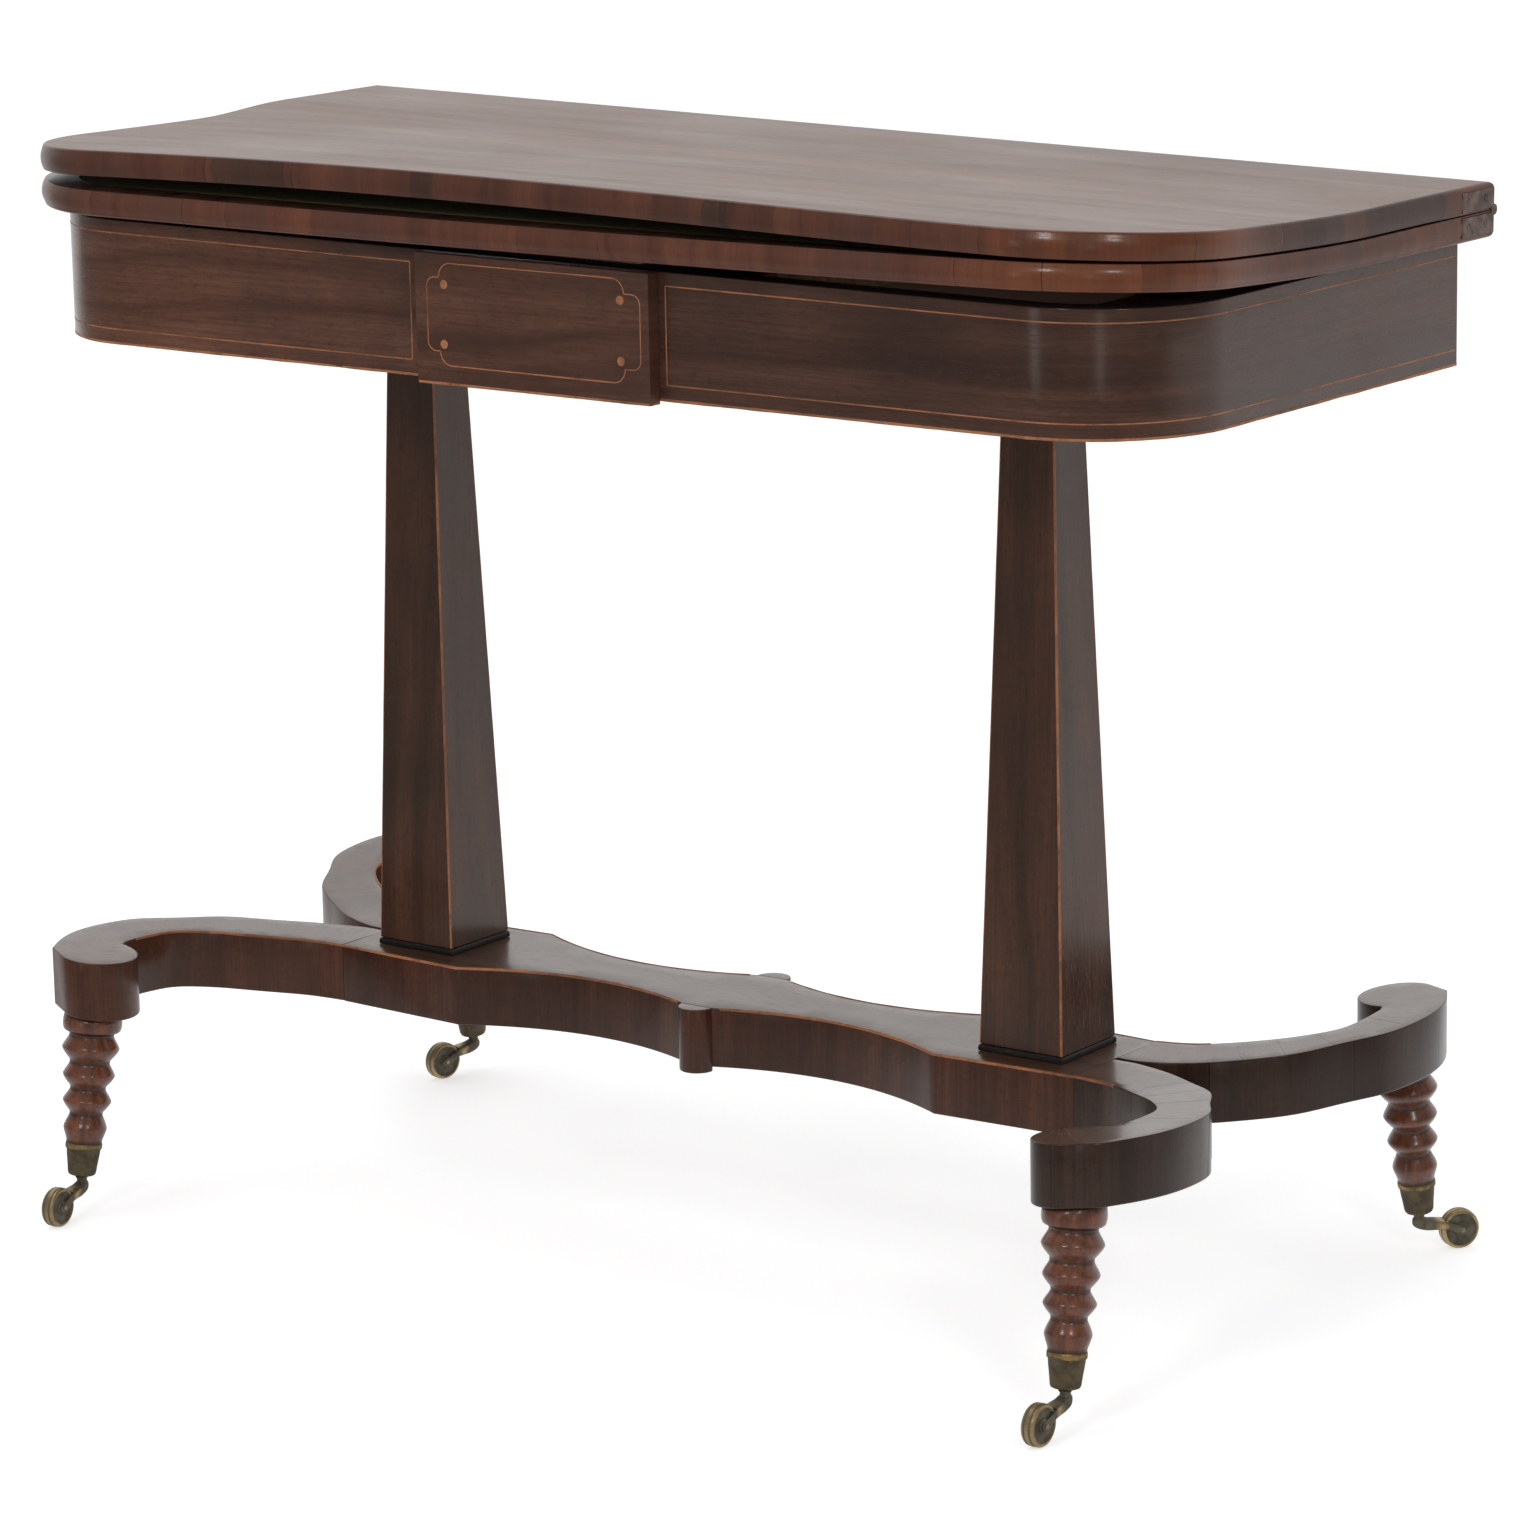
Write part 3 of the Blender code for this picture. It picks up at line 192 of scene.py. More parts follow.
class Body:
    """The vertices and faces of one piece while it is made, with the veneer's place for each face corner."""

    def __init__(self):
        self.points = []
        self.marks = []
        self.faces = []
        self.spots = []
        self.kinds = []

    def add(self, points, mark=0.0):
        start = len(self.points)
        self.points += [Vector(point) for point in points]
        self.marks += [mark] * len(points)
        return list(range(start, len(self.points)))

    def face(self, corners, spots, kind=0):
        self.faces.append(tuple(corners))
        self.spots.append(tuple(spots))
        self.kinds.append(kind)

    def band(self, near, far, lengths, low, high, kind=0, closed=True):
        """Faces between two rows of vertices; lengths run along the rows, low and high across them."""
        for index in range(len(near) if closed else len(near) - 1):
            after = (index + 1) % len(near)
            start = lengths[index]
            end = lengths[index + 1]
            self.face((near[index], near[after], far[after], far[index]),
                      ((start, low), (end, low), (end, high), (start, high)), kind)

    def shape(self, name, materials, mark=None, sharp=None):
        """Turns the faces into a named object whose faces all look outward."""
        mesh = bpy.data.meshes.new(name)
        mesh.from_pydata([tuple(point + middle) for point in self.points], [], self.faces)
        layer = mesh.uv_layers.new(name="UVMap")
        flat = [value for spots in self.spots for spot in spots for value in spot]
        layer.data.foreach_set("uv", flat)
        mesh.polygons.foreach_set("material_index", self.kinds)
        if mark:
            mesh.attributes.new(mark, "FLOAT", "POINT").data.foreach_set("value", self.marks)
        for material in materials:
            mesh.materials.append(material)
        turned = bmesh.new()
        turned.from_mesh(mesh)
        bmesh.ops.recalc_face_normals(turned, faces=turned.faces)
        turned.to_mesh(mesh)
        turned.free()
        mesh.shade_smooth()
        if sharp:
            mesh.set_sharp_from_angle(angle=math.radians(sharp))
        return new_object(name, mesh)

    def piece(self, name, body, slot, materials, *nodes, mark=None, sharp=None, tools=()):
        """A shape, worked with tools, that rides on a body and stands for CAD nodes."""
        made = self.shape(name, materials, mark, sharp)
        cutters = []
        for tool_body, operation in tools:
            cutter = tool_body.shape(f"{name}_tool", materials, mark)
            modifier = made.modifiers.new(operation.lower(), "BOOLEAN")
            modifier.operation = operation
            modifier.object = cutter
            cutters.append(cutter)
        if tools:
            worked_out(made)
            for cutter in cutters:
                bpy.data.objects.remove(cutter)
        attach(made, body)
        if nodes:
            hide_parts(*nodes)
        return made


def run_lengths(outline):
    """The length run along a closed outline at each of its points, and its whole length last."""
    lengths = [0.0]
    for index, point in enumerate(outline):
        after = outline[(index + 1) % len(outline)]
        lengths.append(lengths[-1] + math.dist(point, after))
    return lengths


def drawn_in(outline, distance, fixed):
    """An outline moved inward by a distance; points on a joint face slide along that face."""
    moved = []
    for index, point in enumerate(outline):
        before = outline[index - 1]
        after = outline[(index + 1) % len(outline)]
        normals = []
        for start, end in ((before, point), (point, after)):
            length = math.dist(start, end)
            normals.append(((end[1] - start[1]) / length, (start[0] - end[0]) / length))
        if fixed(*point):
            normal = normals[1] if fixed(*before) else normals[0]
            moved.append((point[0], point[1] - distance / normal[1]))
            continue
        middle_x = normals[0][0] + normals[1][0]
        middle_y = normals[0][1] + normals[1][1]
        size = math.hypot(middle_x, middle_y)
        middle_x, middle_y = middle_x / size, middle_y / size
        reach = distance / max(0.3, middle_x * normals[0][0] + middle_y * normals[0][1])
        moved.append((point[0] - middle_x * reach, point[1] - middle_y * reach))
    return moved


def filled(outline, spacing):
    """Triangles inside an outline, with points spread over it so that its surface can curve."""
    xs = [x for x, y in outline]
    ys = [y for x, y in outline]
    inner = []
    for row in range(int((max(ys) - min(ys)) / spacing) + 1):
        for column in range(int((max(xs) - min(xs)) / spacing) + 1):
            x = min(xs) + (column + 0.5 * (row % 2)) * spacing
            y = min(ys) + row * spacing
            crossings = 0
            near = spacing
            for index, (ax, ay) in enumerate(outline):
                bx, by = outline[index - 1]
                if (ay > y) != (by > y) and x < ax + (y - ay) * (bx - ax) / (by - ay):
                    crossings += 1
                near = min(near, math.hypot(ax - x, ay - y))
            if crossings % 2 and near > spacing * 0.4:
                inner.append((x, y))
    points = [Vector(point) for point in [*outline, *inner]]
    edges = [(index, (index + 1) % len(outline)) for index in range(len(outline))]
    made = delaunay_2d_cdt(points, edges, [], 1, 1e-7)
    origin = [sources[0] for sources in made[3]]
    triangles = []
    for corners in made[2]:
        a, b, c = (made[0][corner] for corner in corners)
        names = [origin[corner] for corner in corners]
        turn = (b.x - a.x) * (c.y - a.y) - (b.y - a.y) * (c.x - a.x)
        triangles.append(names if turn > 0 else names[::-1])
    return inner, triangles


def block(outline, base, top, round_base, round_top, spacing, fixed=lambda x, y: False,
          spot=lambda x, y: (x, y)):
    """An upright block on a plan outline, with rounded lower and upper edges; kind 1 is its two faces."""
    built = Body()
    lengths = run_lengths(outline)
    rows = []
    for step in range(4):
        turn = math.radians(30 * step)
        rows.append((round_base * (1 - math.sin(turn)), base, round_base * (1 - math.cos(turn))))
    for step in range(4):
        turn = math.radians(30 * step)
        rows.append((round_top * (1 - math.cos(turn)), top, round_top * (math.sin(turn) - 1)))
    rings = []
    for distance, surface, height in rows:
        ring = drawn_in(outline, distance, fixed)
        rings.append((built.add([(x, y, surface(x, y) + height) for x, y in ring]), ring, surface, height))
    for (near, _, low, low_step), (far, _, high, high_step) in zip(rings, rings[1:]):
        x, y = outline[0]
        built.band(near, far, lengths, low(x, y) + low_step, high(x, y) + high_step)
    for (rim, rim_outline, surface, _), direction in ((rings[0], -1), (rings[-1], 1)):
        inner, triangles = filled(rim_outline, spacing)
        names = rim + built.add([(x, y, surface(x, y)) for x, y in inner])
        spots = [spot(x, y) for x, y in [*rim_outline, *inner]]
        for triangle in triangles:
            corners = triangle[::direction]
            built.face([names[corner] for corner in corners], [spots[corner] for corner in corners], 1)
    return built


def veneer(name, tones, upright, roughness, figure, sheen, shift, fade=None, joints=()):
    """Polished rosewood veneer on a piece's own surface; upright grain stands across the piece's length. Its
    colour can take a tint between two runs along it, and open joints cross it where its lengths meet."""
    finish = Finish(name, Specular_IOR_Level=sheen, Specular_Tint=(1.0, 0.93, 0.86, 1.0), Coat_Roughness=0.16)
    u, v, _ = finish.place("UV")
    along, across = (v, u) if upright else (u, v)
    colour, streaks, cut = figured(finish, along + shift, across + shift, tones, figure)
    patches = finish.noise(finish.vector(u * 9.0 + shift, v * 9.0, 2.2), 3.0, 0.6)
    mottle = finish.noise(finish.vector(u * 120.0, v * 210.0, shift), 3.0, 0.6, 0.8)
    colour = finish.mix(patches.between(0.35, 0.7) * 0.45, colour, darker(tones[0], 0.55))
    colour = finish.mix(mottle.between(0.45, 0.75) * 0.35, colour, darker(tones[0], 0.6))
    if fade:
        start, end, tint = fade
        colour = finish.tinted((u + patches * 0.15).between(start, end), colour, tint)
    opened = 0.0
    for place in joints:
        opened = opened + (1 - abs(u - place + mottle * 0.0006).between(0.0001, 0.0006))
    if joints:
        colour = finish.mix(opened * 0.85, colour, (0.006, 0.004, 0.003))
    waves = finish.noise(finish.vector(u * 26.0, v * 26.0, 4.0), 2.0)
    finish.bump(opened * -2.0 + streaks * 0.25 - cut * 0.6 + waves * 2.0, 0.00009)
    return finish.show(Base_Color=colour, Roughness=roughness + patches * 0.10 + cut * 0.1,
                       Coat_Weight=0.18 + patches.between(0.3, 0.6) * 0.2)


def boxwood_finish():
    """Boxwood gone orange under old polish, darker where dirt has settled."""
    finish = Finish("boxwood", Specular_IOR_Level=0.3)
    x, y, z = finish.place("Object")
    dirt = finish.noise(finish.vector(x * 40.0, y * 40.0, z * 40.0), 4.0, 0.65)
    grain = finish.noise(finish.vector(x * 300.0, y * 300.0, z * 900.0), 2.0)
    colour = finish.mix(dirt.between(0.45, 0.72), (0.40, 0.152, 0.062), (0.14, 0.060, 0.032))
    colour = finish.mix(grain.between(0.4, 0.8) * 0.4, colour, (0.55, 0.23, 0.10))
    stain = finish.noise(finish.vector(x * 6.0, y * 6.0, z * 12.0), 4.0, 0.7)
    colour = finish.mix(stain.between(0.46, 0.62) * 0.6, colour, (0.130, 0.058, 0.032))
    finish.bump(grain, 0.00003)
    return finish.show(Base_Color=colour, Roughness=0.34 + dirt * 0.2)


def started_tree(name, inputs, result):
    """A geometry node tree, the sockets of its inputs, and a function that adds a node to it."""
    tree = bpy.data.node_groups.new(name, "GeometryNodeTree")
    sockets = {}
    for label, kind in inputs:
        socket = tree.interface.new_socket(label, in_out="INPUT", socket_type="NodeSocket" + kind)
        sockets[label] = socket.identifier
    tree.interface.new_socket(result, in_out="OUTPUT", socket_type="NodeSocketGeometry")

    def add(kind, settings, links):
        made = tree.nodes.new(kind)
        for setting, value in settings.items():
            setattr(made, setting, value)
        for key, value in links.items():
            if isinstance(value, bpy.types.NodeSocket):
                tree.links.new(value, made.inputs[key])
            else:
                made.inputs[key].default_value = value
        return made.outputs

    return tree, sockets, add


def grown(made, tree, sockets, values):
    """Works a geometry node tree out on an object's mesh, with values for its inputs."""
    modifier = made.modifiers.new("grown", "NODES")
    modifier.node_group = tree
    for label, value in values.items():
        modifier[sockets[label]] = value
    worked_out(made)


def line_tree():
    """Geometry nodes that sweep a boxwood line along a path, uneven in width as a hand-cut one."""
    tree, sockets, add = started_tree(
        "boxwood_line", (("Path", "Geometry"), ("Width", "Float"), ("Depth", "Float"), ("Unevenness", "Float"),
                         ("Seed", "Float"), ("Boxwood", "Material")), "Line")
    given = add("NodeGroupInput", {}, {})
    curve = add("GeometryNodeMeshToCurve", {}, {"Mesh": given["Path"]})
    facing = add("GeometryNodeInputNamedAttribute", {"data_type": "FLOAT_VECTOR"}, {"Name": "facing"})
    turned_curve = add("GeometryNodeSetCurveNormal", {"mode": "FREE"},
                       {"Curve": curve[0], "Normal": facing[0]})
    grain = add("ShaderNodeTexNoise", {"noise_dimensions": "4D"}, {"W": given["Seed"], "Scale": 45.0})
    swing = add("ShaderNodeMath", {"operation": "SUBTRACT"}, {0: grain[0], 1: 0.5})
    uneven = add("ShaderNodeMath", {"operation": "MULTIPLY_ADD"},
                 {0: swing[0], 1: given["Unevenness"], 2: 1.0})
    section = add("GeometryNodeCurvePrimitiveQuadrilateral", {},
                  {"Width": given["Depth"], "Height": given["Width"]})
    swept = add("GeometryNodeCurveToMesh", {}, {"Curve": turned_curve[0], "Profile Curve": section[0],
                                                "Scale": uneven[0], "Fill Caps": True})
    painted = add("GeometryNodeSetMaterial", {}, {"Geometry": swept[0], "Material": given["Boxwood"]})
    real = add("GeometryNodeRealizeInstances", {}, {"Geometry": painted[0]})
    add("NodeGroupOutput", {}, {0: real[0]})
    return tree, sockets


boxwood = boxwood_finish()
line_maker, line_sockets = line_tree()


def boxwood_lines(name, body, paths, width, depth, unevenness):
    """Boxwood lines let into a body's surfaces; a path lists points and the directions that the line faces."""
    path_mesh = bpy.data.meshes.new(name + "_paths")
    points = []
    facings = []
    edges = []
    for path in paths:
        start = len(points)
        points += [tuple(Vector(point) + middle) for point, facing in path]
        facings += [value for point, facing in path for value in facing]
        edges += [(index, index + 1) for index in range(start, len(points) - 1)]
    path_mesh.from_pydata(points, edges, [])
    path_mesh.attributes.new("facing", "FLOAT_VECTOR", "POINT").data.foreach_set("vector", facings)
    made = new_object(name, path_mesh)
    grown(made, line_maker, line_sockets, {"Width": width, "Depth": depth, "Unevenness": unevenness,
                                           "Seed": 4.0, "Boxwood": boxwood})
    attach(made, body)


platform_low, platform_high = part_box("platform")
middle = Vector(((platform_low.x + platform_high.x) / 2, (platform_low.y + platform_high.y) / 2, 0))
half_length = 0.302
end_half = 0.048
kink_x = 0.197
kink_half = 0.053
side_hollow = 0.0215
roundel_radius = 0.0122
roundel_seat = 0.0425
platform_top = platform_high.z
platform_base = platform_low.z


def platform_side(x):
    """Half the platform's width at a distance from its middle."""
    if x > kink_x:
        return end_half + (kink_half - end_half) * (half_length - x) / (half_length - kink_x)
    share = (x - kink_x) / (roundel_radius - kink_x)
    return kink_half + (roundel_seat - kink_half) * share - side_hollow * 4 * share * (1 - share)


platform_stations = [half_length - 0.0003, 0.277, 0.25, 0.223, 0.2]
platform_stations += [kink_x + (roundel_radius - kink_x) * step / 36 for step in range(37)]
quarter = [(x, platform_side(min(x, half_length))) for x in platform_stations]
back_half = quarter + [(-x, y) for x, y in reversed(quarter)]
platform_outline = back_half + [(-x, -y) for x, y in back_half]
platform_body = block(platform_outline, lambda x, y: platform_base, lambda x, y: platform_top,
                      round_base=0.0012, round_top=0.0006, spacing=0.016,
                      fixed=lambda x, y: abs(x) > half_length - 0.001)
low_tones = ((0.040, 0.0145, 0.0085), (0.076, 0.0275, 0.0155), (0.120, 0.045, 0.025))
low_side = veneer("platform_side_veneer", low_tones, upright=True, roughness=0.24, figure=0.6, sheen=0.22,
                  shift=0.7)


def top_veneer(name, tones, along_x, cracks=()):
    """Veneer of a level upper face, rubbed dull by use, with drying cracks across it."""
    finish = Finish(name, Specular_IOR_Level=0.60, Specular_Tint=(1.0, 0.88, 0.78, 1.0), Coat_Roughness=0.15)
    u, v, _ = finish.place("UV")
    along, across = (u, v) if along_x else (v, u)
    colour, streaks, cut = figured(finish, along, across, tones, 0.5)
    rub = finish.noise(finish.vector(u * 7.0, v * 7.0, 6.0), 3.0, 0.6)
    crack = 0.0
    for place, low, high in cracks:
        wander = finish.noise(finish.vector(v * 60.0, place, 0.0), 2.0) * 0.004 - 0.002
        line = 1 - abs(u - place + wander).between(0.0002, 0.0010)
        crack = crack + line * v.between(low, low + 0.002) * (1 - v.between(high - 0.002, high))
    if cracks:
        colour = finish.mix(crack, colour, (0.006, 0.003, 0.002))
    finish.bump(streaks * 0.3 - cut * 0.5 - crack * 3.0 + rub * 2.0, 0.0001)
    return finish.show(Base_Color=colour, Roughness=0.24 + rub * 0.12 + cut * 0.1,
                       Coat_Weight=0.20 + rub.between(0.35, 0.65) * 0.20)


low_top_tones = ((0.052, 0.024, 0.0145), (0.090, 0.043, 0.026), (0.130, 0.065, 0.040))
low_top = top_veneer("platform_top_veneer", low_top_tones, along_x=True)
platform_body.piece("stretcher_platform", "frame", "rosewood", [low_side, low_top], "platform", sharp=50)

line_width = 0.0016
proud = 0.00012
line_inset = line_width / 2 - proud
edge_paths = []
for side in (-1, 1):
    path = []
    for x, y in [(half_length, end_half), *back_half[1:-1], (-half_length, end_half)]:
        path.append(((x, side * (y - line_inset), platform_top - line_inset), (0, side, 0)))
    edge_paths.append([item for item in path if item[0][0] >= roundel_radius])
    edge_paths.append([item for item in path if item[0][0] <= -roundel_radius])
boxwood_lines("platform_edge_lines", "frame", edge_paths, line_width, line_width, 0.5)


# Roundels: two half-round bosses glued to the middle of the platform's hollow sides, turned from solid rosewood
# and standing a little below the platform.
roundel_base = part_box("roundel_front")[0].z
for name, side in (("front", -1), ("back", 1)):
    turns = [math.pi * step / 24 for step in range(25)]
    arc = [(math.cos(turn), math.sin(turn)) for turn in turns]
    outline = [(roundel_radius * x, side * (roundel_seat + roundel_radius * y)) for x, y in arc][::side]
    boss = block(outline, lambda x, y: roundel_base, lambda x, y: platform_top, round_base=0.001,
                 round_top=0.0005, spacing=0.005)
    boss.piece(f"half_roundel_{name}", "frame", "rosewood", [low_side, low_top], f"roundel_{name}", sharp=50)


# Arms: four scrolled arms, sawn from thick stock, veneered and butted against the platform's ends. Each sweeps
# round in a C, climbing a little, and ends in a round head over its foot. Both arms on the right have lost most
# of the boxwood line on their inner edge.
foot_x = 0.3998
foot_y = 0.1955
arm_reach = foot_x - half_length
arm_thickness = platform_top - platform_base
arm_climb = 0.0131
bend_end = 1.156
outer_shares = ((0.0, 0.010), (0.202, 0.014), (0.497, 0.066), (0.776, 0.153), (1.055, 0.261), (1.251, 0.418),
                (1.406, 0.545), (1.462, 0.686), (1.453, 0.826), (1.383, 0.942), (1.265, 1.052))
inner_shares = ((1.056, 0.790), (1.060, 0.670), (1.020, 0.555), (0.860, 0.457), (0.653, 0.380),
                (0.306, 0.280), (0.0, 0.246))


def flowing(points, steps):
    """A smooth curve through points, with the same number of steps in each stretch."""
    padded = [points[0], *points, points[-1]]
    curve = []
    for a, b, c, d in zip(padded, padded[1:], padded[2:], padded[3:]):
        for step in range(steps):
            t = step / steps
            curve.append(tuple(
                q + t * ((r - p) + t * ((2 * p - 5 * q + 4 * r - s) + t * (3 * q - p - 3 * r + s))) / 2
                for p, q, r, s in zip(a, b, c, d)))
    curve.append(tuple(points[-1]))
    return curve


def arm_level(x, y):
    """Height of the arm's upper face, which bends upward at first and then climbs evenly to the foot."""
    along = (abs(x) - half_length) / arm_reach + abs(y) / foot_y
    climb = along - bend_end / 2 if along > bend_end else max(0.0, along) ** 2 / (2 * bend_end)
    return platform_top + arm_climb * climb / (2 - bend_end / 2)


arm_side_points = [[(half_length + u * arm_reach, v * foot_y) for u, v in shares] for shares in
                   (outer_shares, inner_shares)]
head_start, head_turn = 70, 205
head_radius, head_growth = 0.0218, 0.0128
arm_head = []
for step in range(49):
    share = step / 48
    angle = math.radians(head_start + head_turn * share)
    radius = head_radius + head_growth * share
    arm_head.append((foot_x + radius * math.cos(angle), foot_y + radius * math.sin(angle)))
arm_outer = flowing(arm_side_points[0], 5)
arm_inner = flowing(arm_side_points[1], 6)
arm_outline = arm_outer + arm_head[1:] + arm_inner
arm_ridge = flowing([(half_length - 0.02, 0.020), (0.330, 0.034), (0.365, 0.056), (0.393, 0.080),
                     (0.415, 0.115), (0.424, 0.150), (0.412, 0.185), (0.396, 0.205), (0.372, 0.212)], 8)
ridge_lengths = run_lengths(arm_ridge)


def arm_spot(x, y):
    """The veneer's place on an arm's upper face: along the arm, and across it."""
    best = min(range(len(arm_ridge)), key=lambda index: math.dist(arm_ridge[index], (abs(x), abs(y))))
    near = arm_ridge[max(0, best - 1)]
    far = arm_ridge[min(len(arm_ridge) - 1, best + 1)]
    length = math.dist(near, far)
    run = ((far[0] - near[0]) / length, (far[1] - near[1]) / length)
    step = (abs(x) - arm_ridge[best][0], abs(y) - arm_ridge[best][1])
    along = ridge_lengths[best] + step[0] * run[0] + step[1] * run[1]
    return along, run[0] * step[1] - run[1] * step[0]


left_tones = ((0.052, 0.0175, 0.0095), (0.095, 0.034, 0.0175), (0.150, 0.056, 0.030))
right_tones = ((0.020, 0.0095, 0.0065), (0.040, 0.0185, 0.012), (0.068, 0.033, 0.021))
arm_joints = (0.062, 0.158, 0.240, 0.266)
arm_side = {-1: veneer("left_arm_side_veneer", left_tones, upright=True, roughness=0.27, figure=0.55, sheen=0.25,
                       shift=2.3, joints=arm_joints),
            1: veneer("right_arm_side_veneer", right_tones, upright=True, roughness=0.25, figure=0.55, sheen=0.25,
                      shift=4.6, joints=arm_joints)}
left_cracks = ((0.187, 0.004, 0.02),)
right_cracks = ((0.086, -0.04, 0.004), (0.112, -0.03, 0.03), (0.139, -0.03, 0.012), (0.187, -0.02, 0.02))
arm_top = {-1: top_veneer("left_arm_top_veneer", low_top_tones, along_x=False, cracks=left_cracks),
           1: top_veneer("right_arm_top_veneer", low_top_tones, along_x=False, cracks=right_cracks)}
line_reach_x = {-1: 0.41, 1: 0.338}
corners = {"front_left": (-1, -1), "front_right": (1, -1), "back_left": (-1, 1), "back_right": (1, 1)}
for corner, (side_x, side_y) in corners.items():
    outline = [(side_x * x, side_y * y) for x, y in arm_outline][::side_x * side_y]
    arm = block(outline, lambda x, y: arm_level(x, y) - arm_thickness, arm_level, round_base=0.0016,
                round_top=0.0007, spacing=0.010, fixed=lambda x, y: abs(x) < half_length + 0.0001,
                spot=arm_spot)
    arm.piece(f"scroll_arm_{corner}", "frame", "rosewood", [arm_side[side_x], arm_top[side_x]],
              f"arm_{corner}", sharp=50)
    edge = [(x, y) for x, y in arm_inner[3:] if x < line_reach_x[side_x]]
    path = []
    for index, (x, y) in enumerate(edge):
        before = edge[max(0, index - 1)]
        after = edge[min(len(edge) - 1, index + 1)]
        length = math.dist(before, after)
        out = ((after[1] - before[1]) / length, (before[0] - after[0]) / length)
        spot = (side_x * (x - out[0] * line_inset), side_y * (y - out[1] * line_inset),
                arm_level(x, y) - line_inset)
        path.append((spot, (side_x * out[0], side_y * out[1], 0)))
    boxwood_lines(f"arm_edge_line_{corner}", "frame", [path], line_width, line_width, 0.6)


# Feet: solid mahogany turned with four sharp beads between plain necks and a flat collar on top. They lean
# outward with the grain running down them. The dowels that hold them in the arms are hidden, and not drawn.
foot_top = 0.1411
ferrule_base = 0.0283
ferrule_length = 0.0228
foot_base = ferrule_base + ferrule_length
foot_radius = 0.0202
foot_splay = (0.0034, 0.0202)
groove_shares = ((0.0, 0.611), (0.221, 0.567), (0.416, 0.611), (0.618, 0.688), (0.829, 0.762))
bead_shares = (0.733, 0.822, 0.881, 0.970)


def foot_middle(side_x, side_y, height):
    drop = (foot_top - height) / foot_top
    splay_x, splay_y = foot_splay
    return Vector((side_x * (foot_x + splay_x * drop), side_y * (foot_y + splay_y * drop), height))


def lathe(profile, place, segments=48, kind=0, closed=False, built=None):
    """Turns (radius, height, mark) points round the Z axis and sets each point where place() puts it."""
    built = built or Body()
    rings = []
    turns = [math.tau * n / segments for n in range(segments)]
    for radius, height, mark in profile:
        ring = [Vector((radius * math.cos(turn), radius * math.sin(turn), height)) for turn in turns]
        rings.append(built.add([place(point) for point in ring], mark))
    run = 0.0
    pairs = list(zip(range(len(rings)), range(1, len(rings))))
    if closed:
        pairs.append((len(rings) - 1, 0))
    for near, far in pairs:
        step = math.dist(profile[near][:2], profile[far][:2])
        around = [profile[near][0] * math.tau * n / segments for n in range(segments + 1)]
        built.band(rings[near], rings[far], around, run, run + step, kind)
        run += step
    if not closed:
        for corners_here in (rings[0][::-1], rings[-1]):
            built.face(corners_here, [(0.0, 0.0)] * segments, kind)
    return built


def leaning(side_x, side_y):
    """Sets a turned point on a foot's leaning axis; heights are measured up from the floor."""
    lean = foot_middle(side_x, side_y, foot_top) - foot_middle(side_x, side_y, 0)
    turn = Vector((0, 0, 1)).rotation_difference(lean)
    return lambda point: foot_middle(side_x, side_y, point.z) + turn @ Vector((point.x, point.y, 0))


turned_height = 0.0894
turned_start = foot_base + 0.0003
# The third number of each profile point is a mark of painted shade and wax. It is high where the foot goes into
# its ferrule, in the necks and at the collar's edges.
foot_profile = [(0.0086, ferrule_base + 0.0063, 0.0), (0.0108, foot_base - 0.0006, 0.6),
                (0.0120, turned_start, 0.7)]
# Each bead is a sharp ridge with a little swell. The necks between the beads carry painted shade, and wax that
# dulls their polish.
for (low, low_radius), (high, high_radius), bead in zip(groove_shares, groove_shares[1:], bead_shares):
    for step in range(17):
        share = step / 16
        groove = low_radius + (high_radius - low_radius) * share
        swell = math.sin(math.pi * share) ** 2.4 * 0.9 + 0.1 * math.sin(math.pi * share) ** 0.4
        ridge = max(0.0, 1 - (abs(share - 0.5) / 0.42) ** 1.3)
        radius = groove + (bead - groove) * (0.2 * swell + 0.8 * ridge)
        neck = 1 - min(1.0, abs(share - 0.03) / 0.10, abs(share - 0.97) / 0.10)
        height = turned_start + turned_height * (low + (high - low) * share)
        foot_profile.append((foot_radius * (radius - 0.012 * neck), height, neck))
# The collar's lower and upper edges carry painted shade through the same mark.
collar = ((0.836, 0.775, 0.9), (0.846, 0.80, 1.0), (0.852, 0.90, 0.7), (0.862, 0.955, 0.2),
          (0.880, 0.985, 0.0), (0.905, 1.0, 0.0), (0.935, 1.0, 0.0), (0.955, 0.985, 0.2), (0.970, 0.960, 0.7),
          (0.985, 0.92, 1.0))
foot_profile += [(foot_radius * radius, turned_start + turned_height * share, mark)
                 for share, radius, mark in collar]


def foot_finish():
    """Old polished mahogany, with painted shade in the grooves and wax that dulls them."""
    finish = Finish("turned_mahogany", Specular_IOR_Level=0.36, Coat_Roughness=0.20)
    x, y, z = finish.place("Object")
    grain = finish.noise(finish.vector(x * 260.0, y * 260.0, z * 16.0), 4.0, 0.6, 0.5)
    flecks = finish.noise(finish.vector(x * 1500.0, y * 1500.0, z * 90.0), 2.0)
    wax = finish.mark("wax")
    colour = finish.mix(grain.between(0.3, 0.7), (0.185, 0.056, 0.022), (0.085, 0.027, 0.012))
    colour = finish.mix(flecks.between(0.6, 0.75) * 0.6, colour, (0.030, 0.011, 0.007))
    # Painted shade: the mark darkens the grooves and the collar's edges nearly to black, and the wax in them also
    # dulls the polish.
    colour = finish.mix(wax * (0.55 + grain * 0.5), colour, (0.014, 0.007, 0.005))
    finish.bump(grain * 0.5 - flecks * 0.3, 0.00008)
    return finish.show(Base_Color=colour, Roughness=0.24 + grain * 0.14 + wax * 0.2,
                       Coat_Weight=0.66 - wax * 0.5)


